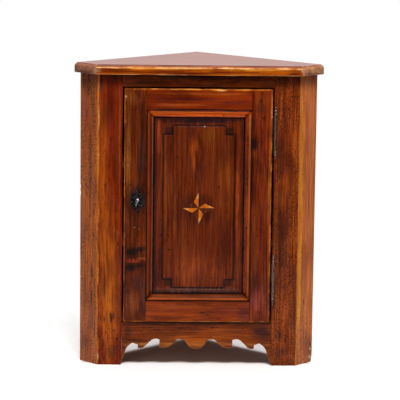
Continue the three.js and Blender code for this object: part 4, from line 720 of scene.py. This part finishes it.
def moulding_mesh(name, across, side, seed):
    """A length of moulding: the profile carried from mitre to mitre with a slight unevenness."""
    low_x, high_x, low_z, high_z = FRAME_INSIDE
    shaped = bmesh.new()
    rows = []
    for step in range(MOULDING_STEPS + 1):
        share = step / MOULDING_STEPS
        row = []
        for inset, y in moulding_profile:
            if across:
                start, end = low_x + inset + MITRE_GAP, high_x - inset - MITRE_GAP
                place = point(start + (end - start) * share, y, high_z - inset if side > 0 else low_z + inset)
            else:
                start, end = low_z + inset, high_z - inset
                place = point(high_x - inset if side > 0 else low_x + inset, y, start + (end - start) * share)
            if 0 < share < 1 and y < 0:
                place.y += 0.35 * MM * wavering(place, 45, seed)
            row.append(shaped.verts.new(place))
        rows.append(row)
    skin(shaped, rows)
    return finished_mesh(name, shaped)


MOULDING_RING = (1.5, 460.5, 148.0, 272.5, 0.0, 0.0)
RIGHT_KNOTS = [(137, z, 6, 14, 7, 0.5) for z in (650, 540, 400)]
RIGHT_MARKS = [(147, 640, 5, 24, "#140e0d", 0.9), (148, 565, 3, 44, "#1c0e0b", 0.7),
               (138, 690, 5, 30, "#a4521a", 0.6), (136, 470, 4, 60, "#9a4416", 0.5),
               (146, 240, 6, 60, "#2c1418", 0.7)]
# The share of shine below is that of a painted grey highlight line on the inner flat of each moulding
for name, across, side, light, dark, worn, rubbing, shine, specular, mottling in (
        ("top", True, 1, "#e85202", "#812102", "#b8641c", 0.4, 0.5, 0.1, 0.3),
        ("bottom", True, -1, "#74300e", "#361206", "#b0501c", 0.55, 0.0, 0.02, 0.2),
        ("left", False, -1, "#681702", "#280902", "#944a18", 0.4, 0.4, 0.1, 0.5),
        ("right", False, 1, "#902d10", "#3b0905", "#aa5818", 0.6, 0.0, 0.08, 0.8)):
    moulding_pine = stained_pine(
        f"orange_stained_pine_moulding_{name}", light, dark, "#3e1810", worn, LEVEL if across else UPRIGHT,
        50 + side + 3 * across, ring=4, mottling=mottling, pitting=0.4, specular=specular, coat=0.0,
        knots=RIGHT_KNOTS if name == "right" else (), patches=RIGHT_MARKS if name == "right" else (),
        # Outlines: the rubbed round, dirt along the outer edge, a painted grey highlight on the inner flat,
        # and painted shade with dirt at the inner edge
        outlines=[(MOULDING_RING, -9.5, -3.6, worn, rubbing), (MOULDING_RING, -3.8, 2.0, "#140a08", 0.9),
                  (MOULDING_RING, -18.4, -16.0, "#86705e", shine),
                  (MOULDING_RING, -30.0, -18.4, "#0c0707", 0.92)])
    piece = f"panel_moulding_{name}"
    mesh = moulding_mesh(piece, across, side, 50 + side)
    fit(f"{piece}_wood", mesh, moulding_pine, "door", "red_pine", piece)

# Pegs
# Oak pegs, whittled to eight flats, driven through the joints of the door and of the frame and left a little
# proud. They are darker than the pine, being end grain that drank the stain.
PEG_FLATS, DOOR_PEG_RADIUS, DOOR_PEG_LONG, DOOR_PEG_PROUD = 8, 3.45, 21.9, 0.55
FRAME_PEG_RADIUS, FRAME_PEG_SUNK, FRAME_PEG_PROUD = 3.6, 0.02, 0.5
DOOR_PEGS = [(-170.5, 158), (-170.5, 763), (173.5, 158), (173.5, 763)]
FRAME_PEGS = [(-236, 0, 100), (-236, 0, 814), (233, 0, 100), (233, 0, 814)]
peg_oak = stained_pine(
    "dark_oak_pegs", "#5a2812", "#34140a", "#241008", "#7a3a18", seed=17, ring=2, pitting=0.0)


def peg_mesh(name, places, radius, back, proud):
    """Whittled pegs along the depth of the cupboard, each turned a little differently."""
    draw = random.Random(len(places) + int(radius * 10))
    shaped = bmesh.new()
    for x, y, z in places:
        turn = draw.random()
        rings = []
        for share, depth in ((1.0, y + back), (1.0, y), (0.92, y - proud * 0.6), (0.55, y - proud)):
            ring = []
            for count in range(PEG_FLATS):
                angle = (count + turn) * math.tau / PEG_FLATS
                out = radius * share * (1 - 0.06 * draw.random() * (depth < y))
                corner = point(x + out * math.cos(angle), depth, z + out * math.sin(angle))
                ring.append(shaped.verts.new(corner))
            rings.append(ring)
        skin(shaped, rings)
    return finished_mesh(name, shaped)


for count, (x, z) in enumerate(DOOR_PEGS, 1):
    piece = f"door_peg_{count}"
    mesh = peg_mesh(piece, [(x, DOOR_FACE, z)], DOOR_PEG_RADIUS, DOOR_PEG_LONG, DOOR_PEG_PROUD)
    fit(f"{piece}_wood", mesh, peg_oak, "door", "dark_pine", piece)
frame_pegs = peg_mesh("frame_pegs", FRAME_PEGS, FRAME_PEG_RADIUS, -FRAME_PEG_SUNK, FRAME_PEG_PROUD)
fit("frame_pegs", frame_pegs, peg_oak, "carcass", "dark_pine")

# Lock, bolt and strike
# A wrought iron box lock let into the back of the lock stile, its bolt and its strike plate. The case and the
# plate are screwed on, and the bolt slides in the case.
HAMMER_MARKS, RUST_BLOOMS = 4.5455, 11.111


def forged_iron(name, light, dark, rust="#4a2a18", rusting=0.4, roughness=0.5, seed=0, dents=0.16,
                hammering=0.4):
    """Forged iron gone nearly black: hammer marks, rust in blooms and a dull shine where it is rubbed."""
    material = bpy.data.materials.new(name)
    tree = cleared_tree(material)
    node = partial(add, tree)
    at = node("Mapping", node("TexCoord", out="Object"), (seed, seed * 0.3, 0))
    hammer = node("TexNoise", {"Vector": at, "Scale": 1 / (HAMMER_MARKS * MM), "Detail": 3.0})
    hammer = node("MapRange", hammer, dents, 1 - dents)
    blooms = node("TexNoise", {"Vector": at, "Scale": 1 / (RUST_BLOOMS * MM), "Detail": 5.0})
    share = node("MapRange", blooms, 0.5, 0.68, 0.0, rusting, **SOFT)
    steel = node("MixRGB", hammer, linear(dark), linear(light))
    shader = node("BsdfPrincipled", {
        "Base Color": node("MixRGB", share, steel, linear(rust)),
        "Roughness": node("MapRange", hammer, 0.0, 1.0, roughness - 0.12, roughness + 0.18),
        "Normal": node("Bump", {"Height": hammer, "Strength": hammering, "Distance": 0.4 * MM}),
        "Metallic": 0.85})
    node("OutputMaterial", shader)
    return material


fit_iron = partial(fit_board, wander=0, slice_axis=None, slot="dark_iron", stuff="iron")
# The lock is dull and grey-black, and its bolt is filed bright
lock_iron = forged_iron("forged_iron_lock", "#4a4440", "#26221f")
bolt_iron = forged_iron("filed_iron_bolt", "#8a847c", "#4c4742", rusting=0.25, roughness=0.4, seed=1)
fit_iron("lock_case", lock_iron, rounding=0.4, body="door")
fit_iron("lock_bolt", bolt_iron, rounding=0.6, body="bolt")
fit_iron("strike_plate", lock_iron, rounding=0.3)

# Escutcheon and key
# A hammered iron plate drawn out to a point above and below, held by two round-headed pins, and an iron key
# whose bow and shank are polished by use.
# The plate is nearly black, with bright facets where its hammer marks catch the light
plate_iron = forged_iron("hammered_iron_escutcheon", "#403c3a", "#0e0c0b", "#2a1810", 0.5, 0.34, 2, 0.36)
fit_iron("escutcheon", plate_iron, rounding=0.6, chosen=on_front_edge, body="door")


def turned_mesh(name, profile, sides, put):
    """A turned piece from radii and places along its axis, closed at both ends and put in its place."""
    shaped = bmesh.new()
    rings = []
    for radius, along in profile:
        angles = [math.tau * i / sides for i in range(sides if radius else 1)]
        ring = [put(radius * math.cos(angle), radius * math.sin(angle), along) for angle in angles]
        rings.append([shaped.verts.new(corner) for corner in ring])
    skin(shaped, rings)
    return finished_mesh(name, shaped)


KEY_PLACE, KEY_LEAN = Vector((-171, -8, 477)), math.radians(22)
PIN_HEAD = [(0, -11.1), (0.9, -11.05), (1.6, -10.85), (2.05, -10.5), (2.2, -10.2), (1.3, -10.15), (1.3, -1.2),
            (0, -1.2)]
for name, z in (("upper", 506.0), ("lower", 448.0)):
    piece = f"{name}_escutcheon_pin"
    pin_mesh = turned_mesh(piece, PIN_HEAD, 16, lambda a, b, along, z=z: point(KEY_PLACE.x + a, along, z + b))
    fit(f"{piece}_iron", pin_mesh, plate_iron, "door", "dark_iron", piece)

# The key is drawn about its shank, with z towards its bit, and leans with the lock
BOW_CENTRE, BOW_HALF_LONG, BOW_HALF_WIDE, BOW_BAR, BOW_FLATTENING = -29.5, 8.5, 10.5, 2.0, 0.85
BIT_HALF_THICK = 1.3
AROUND, SECTION = 40, 12
key_turn = Matrix.Rotation(KEY_LEAN, 3, "Y")


def on_key(x, y, z):
    """A place on the key in the metres of the scene."""
    return point(*(key_turn @ Vector((x, y, z)) + KEY_PLACE))


key_shape = bmesh.new()
shank = [(0, -21.4), (2.6, -21.2), (3.3, -20.2), (3.3, -18.6), (2.5, -17.6), (2.3, -14.2), (3.0, -12.8),
         (3.3, -11.8), (2.9, -10.6), (3.2, -8.2), (4.6, -7.9), (5.0, -7.4), (5.0, -5.6), (4.6, -5.1),
         (3.3, -4.8), (3.3, 18.3), (2.7, 19.3), (0, 19.5)]
key_shape.from_mesh(turned_mesh("key_shank", shank, 24, lambda a, b, along: on_key(a, along, b)))
bow = []
for i in range(AROUND):
    turn = math.tau * i / AROUND
    out = Vector((math.cos(turn) / BOW_HALF_LONG, math.sin(turn) / BOW_HALF_WIDE)).normalized()
    ring = []
    for k in range(SECTION):
        bend = math.tau * k / SECTION
        along = BOW_CENTRE + BOW_HALF_LONG * math.cos(turn) + BOW_BAR * math.cos(bend) * out.x
        across = BOW_HALF_WIDE * math.sin(turn) + BOW_BAR * math.cos(bend) * out.y
        thick = BOW_BAR * BOW_FLATTENING * math.sin(bend)
        ring.append(key_shape.verts.new(on_key(thick, along, across)))
    bow.append(ring)
skin(key_shape, bow + bow[:1], capped=False)
bit_outline = [(13.2, 2.0), (19.2, 2.0), (19.2, 12.0), (17.4, 12.0), (17.4, 7.5), (16.2, 7.5), (16.2, 12.0),
               (13.2, 12.0)]
skin(key_shape, [[key_shape.verts.new(on_key(half, y, z)) for y, z in bit_outline]
                 for half in (-BIT_HALF_THICK, BIT_HALF_THICK)])
# Fingers have rubbed the key as bright as old pewter
key_iron = forged_iron("polished_iron_key", "#e4e0e6", "#5c565c", rusting=0.25, roughness=0.22, seed=3,
                       hammering=0.15)
fit("key_iron", finished_mesh("key", key_shape), key_iron, "key", "dark_iron", "key")

# Hinges
# Turned iron lift-off hinges: the upper knuckle is on the door and drops over a steel pin in the lower one.
# Each ends in a finial of beads, and each leaf is let in and screwed to its edge of wood.
HINGE_X, HINGE_Y = 214.5, -6.0
BARREL_RADIUS, BORE_RADIUS, BARREL_LENGTH, DOOR_KNUCKLE = 4.65, 2.7, 98.5, 58.0
FINIAL, GROOVE_HALF, GROOVE_DEEP, MOUTH_CHAMFER, KNUCKLE_GAP, LEAF_INSET = 25.0, 0.7, 0.45, 0.4, 0.4, 3
GROOVE_SHARES = (0.06, 0.94)
NECK_REACH = 3.7
# Shares of the barrel's radius and of the finial's length
FINIAL_SHAPE = [(1.0, 0.0), (0.98, 0.012), (0.8, 0.03), (0.75, 0.07), (0.8, 0.11), (1.02, 0.13), (1.17, 0.17),
                (1.2, 0.22), (1.17, 0.27), (1.02, 0.31), (0.7, 0.335), (0.6, 0.36), (0.66, 0.4), (0.86, 0.44),
                (0.98, 0.49), (1.0, 0.54), (0.98, 0.59), (0.8, 0.64), (0.5, 0.68), (0.45, 0.71), (0.52, 0.76),
                (0.6, 0.82), (0.56, 0.88), (0.38, 0.94), (0.2, 0.98), (0.0, 1.0)]
# The barrels are tinted brown, partly as a painted reflection of the wood round them, and rubbed to a shine;
# the leaves are black, and the pins bright where they turn
hinge_iron = forged_iron("turned_iron_hinges", "#9a7668", "#40302a", "#4a2818", 0.3, 0.28, 4, 0.0, 0.08)
leaf_iron = forged_iron("black_iron_hinge_leaves", "#3a322e", "#1a1412", "#3a2016", 0.5, 0.5, 8)
pin_steel = forged_iron("turned_steel_hinge_pin", "#b4b0a8", "#8a867e", "#6a5040", 0.2, 0.3, 5)


def on_hinge(foot):
    """Where the parts of a hinge go whose barrel starts at a height."""
    return lambda a, b, along: point(HINGE_X + a, HINGE_Y + b, foot + along)


def hinge_half(name, foot, base, mouth, direction, plate, body):
    """A knuckle with its finial, its bore open at the mouth, and the leaf that carries it."""
    bore_end = base - direction * BARREL_RADIUS
    lip = mouth + direction * MOUTH_CHAMFER
    profile = [(0, bore_end), (BORE_RADIUS, bore_end), (BORE_RADIUS, lip),
               (BORE_RADIUS + MOUTH_CHAMFER, mouth), (BARREL_RADIUS - MOUTH_CHAMFER, mouth),
               (BARREL_RADIUS, lip)]
    for share in GROOVE_SHARES:
        groove = mouth + (base - mouth) * share
        profile += [(BARREL_RADIUS, groove - direction * GROOVE_HALF), (BARREL_RADIUS - GROOVE_DEEP, groove),
                    (BARREL_RADIUS, groove + direction * GROOVE_HALF)]
    profile += [(radius * BARREL_RADIUS, base + direction * FINIAL * along) for radius, along in FINIAL_SHAPE]
    shaped = bmesh.new()
    shaped.from_mesh(turned_mesh(name, profile, 28, on_hinge(foot)))
    near, far, back, bottom, top = plate
    neck = HINGE_X - NECK_REACH
    for low, high in (((near, HINGE_Y - 1, bottom), (far, back, top)),
                      ((min(near, neck), HINGE_Y - 1, bottom), (neck, HINGE_Y + 1, top))):
        box = bmesh.ops.create_cube(shaped, size=1)["verts"]
        for vertex in box:
            x, y, z = ((a + b) / 2 + c * (b - a) for a, b, c in zip(low, high, vertex.co))
            vertex.co = point(x, y, foot + z)
        edges = list({e for v in box for e in v.link_edges})
        bmesh.ops.bevel(shaped, geom=edges, offset=0.3 * MM, segments=2, profile=0.5, affect="EDGES")
    mesh = finished_mesh(name, shaped)
    axis = point(HINGE_X, HINGE_Y, 0)
    for face in mesh.polygons:
        face.material_index = int((face.center - axis).xy.length > 1.25 * BARREL_RADIUS * MM)
    fit(f"{name}_iron", mesh, [hinge_iron, leaf_iron], body, "dark_iron", name)


door_foot = BARREL_LENGTH - DOOR_KNUCKLE
frame_top = door_foot - KNUCKLE_GAP
# Each leaf from its near to its far side, its back, and its ends along the barrel
door_leaf = (205.8, 207.8, 10.0, door_foot + LEAF_INSET, BARREL_LENGTH - LEAF_INSET)
frame_leaf = (208.7, 210.7, 16.0, LEAF_INSET, frame_top - LEAF_INSET)
HINGE_FEET = {"upper": 620.75, "lower": 201.75}
PIN_SHAPE = [(0, 4.95), (2.6, 4.95), (2.6, 92.0), (2.2, 92.85), (0, 92.85)]
for place, foot in HINGE_FEET.items():
    hinge_half(f"{place}_hinge_door_half", foot, BARREL_LENGTH, door_foot, 1, door_leaf, "door")
    hinge_half(f"{place}_hinge_frame_half", foot, 0.0, frame_top, -1, frame_leaf, "carcass")
    piece = f"{place}_hinge_pin"
    pin_mesh = turned_mesh(piece, PIN_SHAPE, 24, on_hinge(foot))
    fit(f"{piece}_steel", pin_mesh, pin_steel, "carcass", "worn_steel", piece)

# Nails and screws
# Hand-cut nails hold the apron and the back boards, and slotted iron screws hold the lock, the strike and the
# hinges. All stand a little proud and have gone brown with rust.
HEAD_SHAPE = ((1.0, -0.3), (1.0, 0.35), (0.86, 0.7), (0.6, 0.9), (0.3, 1.0), (0.0, 1.0))
HEAD_SIDES, SLOT_DEPTH = 20, 0.2
FORWARD, BACKWARD, TO_RIGHT, TO_LEFT = (0, -1, 0), (0, 1, 0), (1, 0, 0), (-1, 0, 0)


def heads_mesh(name, places, radius, proud, slot=0.0):
    """Round heads lying on their surfaces; a slot is cut where it has a width."""
    shaped = bmesh.new()
    draw = random.Random(len(places))
    for place, facing in places:
        outward = Vector(facing).normalized()
        turn = draw.random() * math.tau
        across = outward.orthogonal().normalized()
        aside = outward.cross(across)
        rings = []
        for share, height in HEAD_SHAPE:
            ring = []
            for count in range(HEAD_SIDES if share else 1):
                angle = count * math.tau / HEAD_SIDES + turn
                u, v = radius * share * math.cos(angle), radius * share * math.sin(angle)
                lift = -SLOT_DEPTH if abs(v) < slot and share < 1 else proud * height
                spot = Vector(place) + across * u + aside * v + outward * lift
                ring.append(shaped.verts.new(point(*spot)))
            rings.append(ring)
        skin(shaped, rings)
    return finished_mesh(name, shaped)


nail_iron = forged_iron("rusted_iron_nails", "#3a2c24", "#1c1512", "#5a3018", 0.6, 0.6, 6)
FRONT_NAILS = ((-132, 109), (-45, 107.5), (43, 108.5), (56, 110), (132, 108), (213.9, 803), (-258, 94))
front_nails = [((x, 0, z), FORWARD) for x, z in FRONT_NAILS]
fit("front_nails", heads_mesh("front_nails", front_nails, 2.0, 0.35), nail_iron, "carcass", "dark_iron")
# Two nails through each back board into each cleat
BACK_DEPTH, CLEAT_HEIGHTS = 385, (93.7, 322.7, 547.7, 819.7)
back_nails = []
for side, direction in (("left", -1), ("right", 1)):
    for count in (1, 2, 3):
        low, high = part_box(f"{side}_back_board_{count}")
        for share in (0.18, 0.7):
            x = (low.x + (high.x - low.x) * share) / MM
            for z in CLEAT_HEIGHTS:
                back_nails.append(((x, BACK_DEPTH - abs(x), z + 3 * (share > 0.5)), (direction, 1, 0)))
fit("back_nails", heads_mesh("back_nails", back_nails, 2.8, 0.3), nail_iron, "carcass", "dark_iron")
screw_iron = forged_iron("slotted_iron_screws", "#6a625a", "#302b28", "#4a2a1a", 0.4, 0.4, 7)
door_screws = [((x, 14.0, z), BACKWARD) for x in (-202, -155) for z in (453, 513)]
door_screws += [((207.8, 4, foot + z), TO_RIGHT) for foot in HINGE_FEET.values() for z in (50, 69, 88)]
fit("door_screws", heads_mesh("door_screws", door_screws, 3.0, 0.3, 0.55), screw_iron, "door", "dark_iron")
frame_screws = [((208.7, 10, foot + z), TO_LEFT) for foot in HINGE_FEET.values() for z in (10, 30)]
frame_screws += [((-214.0, 8.8, z), TO_RIGHT) for z in (477, 511)]
frame_heads = heads_mesh("frame_screws", frame_screws, 2.8, 0.3, 0.5)
fit("frame_screws", frame_heads, screw_iron, "carcass", "dark_iron")

# Studio
# A plain white floor and white surroundings. One large soft lamp stands high in front, so that the top board
# throws its shadow on the frieze, a weaker one fills from the left, and one behind lights the floor there.
FLOOR_HALF = 1.5
FOOTPRINT_EDGE = (-0.05, -0.01)
BACKDROP_FROM, BACKDROP_WHOLE = 0.4, 0.8
# Linear values, since the paint that the camera sees is brighter than white
# Under the cupboard the paint that the camera sees is darker, as painted shade
PAINT, PAINT_SEEN, PAINTED_SHADE_UNDER_CUPBOARD = (0.8, 0.8, 0.8, 1), (1.1, 1.1, 1.1, 1), (0.6, 0.5, 0.46, 1)
WHITE = (1, 1, 1, 1)
floor_mesh = bpy.data.meshes.new("studio_floor")
floor_corners = [(x * FLOOR_HALF, y * FLOOR_HALF, 0) for x, y in ((-1, -1), (1, -1), (1, 1), (-1, 1))]
floor_mesh.from_pydata(floor_corners, [], [(0, 1, 2, 3)])
floor = bpy.data.objects.new("studio_floor", floor_mesh)
bpy.context.scene.collection.objects.link(floor)
# Matt white paint, which the camera sees brighter than the object does, and darker and browner under the
# cupboard, where shade is painted on it
floor_white = bpy.data.materials.new("matt_white_floor")
node = partial(add, cleared_tree(floor_white))
seen = node("LightPath", out="Is Camera Ray")
at = node("TexCoord", out="Object")
x, y = node("SeparateXYZ", at, out=slice(2))
past_walls = node("Math", node("Math", x, operation="ABSOLUTE"), y)
past_walls = node("Math", past_walls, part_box("rear_corner_post")[1].y, **LESS)
outside = node("Math", past_walls, node("Math", FACE, y, **LESS), **LARGER)
outside = node("MapRange", outside, *FOOTPRINT_EDGE, **SOFT)
seen_paint_and_shade = node("MixRGB", outside, PAINTED_SHADE_UNDER_CUPBOARD, PAINT_SEEN)
matt = node("BsdfDiffuse", node("MixRGB", seen, PAINT, seen_paint_and_shade))
# Away from the cupboard the floor runs out into the white backdrop
away = node("VectorMath", at, operation="LENGTH", out="Value")
away = node("MapRange", away, BACKDROP_FROM, BACKDROP_WHOLE, **SOFT)
backdrop = node("Emission", WHITE, 1.0)
node("OutputMaterial", node("MixShader", node("Math", away, seen, **TIMES), matt, backdrop))
floor_mesh.materials.append(floor_white)

AMBIENT, ROOM_IN_FRONT = 0.22, 0.03
world = bpy.data.worlds.new("white_surroundings")
bpy.context.scene.world = world
node = partial(add, cleared_tree(world))
seen = node("LightPath", out="Is Camera Ray")
direct = node("Math", seen, node("LightPath", out="Is Transmission Ray"), **LARGER)
# Gloss shows the white backdrop behind the cupboard and the dim room in front of it
towards = node("SeparateXYZ", node("TexCoord", out="Generated"), out=1)
glossy = node("MapRange", towards, -0.1, 0.35, ROOM_IN_FRONT, 1.0)
level = node("Mix", {0: node("LightPath", out="Is Glossy Ray"), 2: AMBIENT, 3: glossy})
level = node("Mix", {0: direct, 2: level, 3: 1.0})
node("OutputWorld", node("Background", WHITE, level))


def lamp(name, place, target, size, watts):
    """A soft rectangular lamp at a place, turned to its target."""
    light = bpy.data.lights.new(name, "AREA")
    light.shape = "RECTANGLE"
    light.size, light.size_y = size
    light.energy = watts
    holder = bpy.data.objects.new(name, light)
    bpy.context.scene.collection.objects.link(holder)
    holder.location = place
    holder.rotation_euler = (Vector(target) - Vector(place)).to_track_quat("-Z", "Y").to_euler()


lamp("key_lamp", (0.15, -1.75, 3.0), (0.0, 0.0, 0.45), (1.3, 0.9), 93)
lamp("fill_lamp", (-1.9, -3.2, 0.8), (0.0, 0.0, 0.3), (1.6, 1.2), 21)
lamp("rear_lamp", (0.0, 1.9, 3.1), (0.0, 0.4, 0.0), (2.6, 0.8), 70)

# Camera
# It stands nearly six metres off and a little left of the middle, 1.45 m high, and looks down by about nine
# degrees, so that the top board shows from above.
CAMERA_PLACE = point(-131.69, -5848.22, 1450.89)
CAMERA_YAW, CAMERA_PITCH, CAMERA_ROLL = 0.02342, 0.16482, 0.01201
SENSOR, IMAGE_SIZE, FOCAL_PIXELS = 36.0, 400, 2105.35
ahead = Vector((math.sin(CAMERA_YAW) * math.cos(CAMERA_PITCH), math.cos(CAMERA_YAW) * math.cos(CAMERA_PITCH),
                -math.sin(CAMERA_PITCH)))
level_right = Vector((math.cos(CAMERA_YAW), -math.sin(CAMERA_YAW), 0))
level_up = level_right.cross(ahead)
right = level_right * math.cos(CAMERA_ROLL) + level_up * math.sin(CAMERA_ROLL)
up = level_up * math.cos(CAMERA_ROLL) - level_right * math.sin(CAMERA_ROLL)
turn = Matrix((right, up, -ahead)).transposed().to_4x4()
camera_data = bpy.data.cameras.new("camera")
camera_data.sensor_width = SENSOR
camera_data.lens = FOCAL_PIXELS * SENSOR / IMAGE_SIZE
camera = bpy.data.objects.new("camera", camera_data)
bpy.context.scene.collection.objects.link(camera)
camera.matrix_world = Matrix.Translation(CAMERA_PLACE) @ turn
bpy.context.scene.camera = camera
bpy.context.scene.view_settings.view_transform = "Standard"
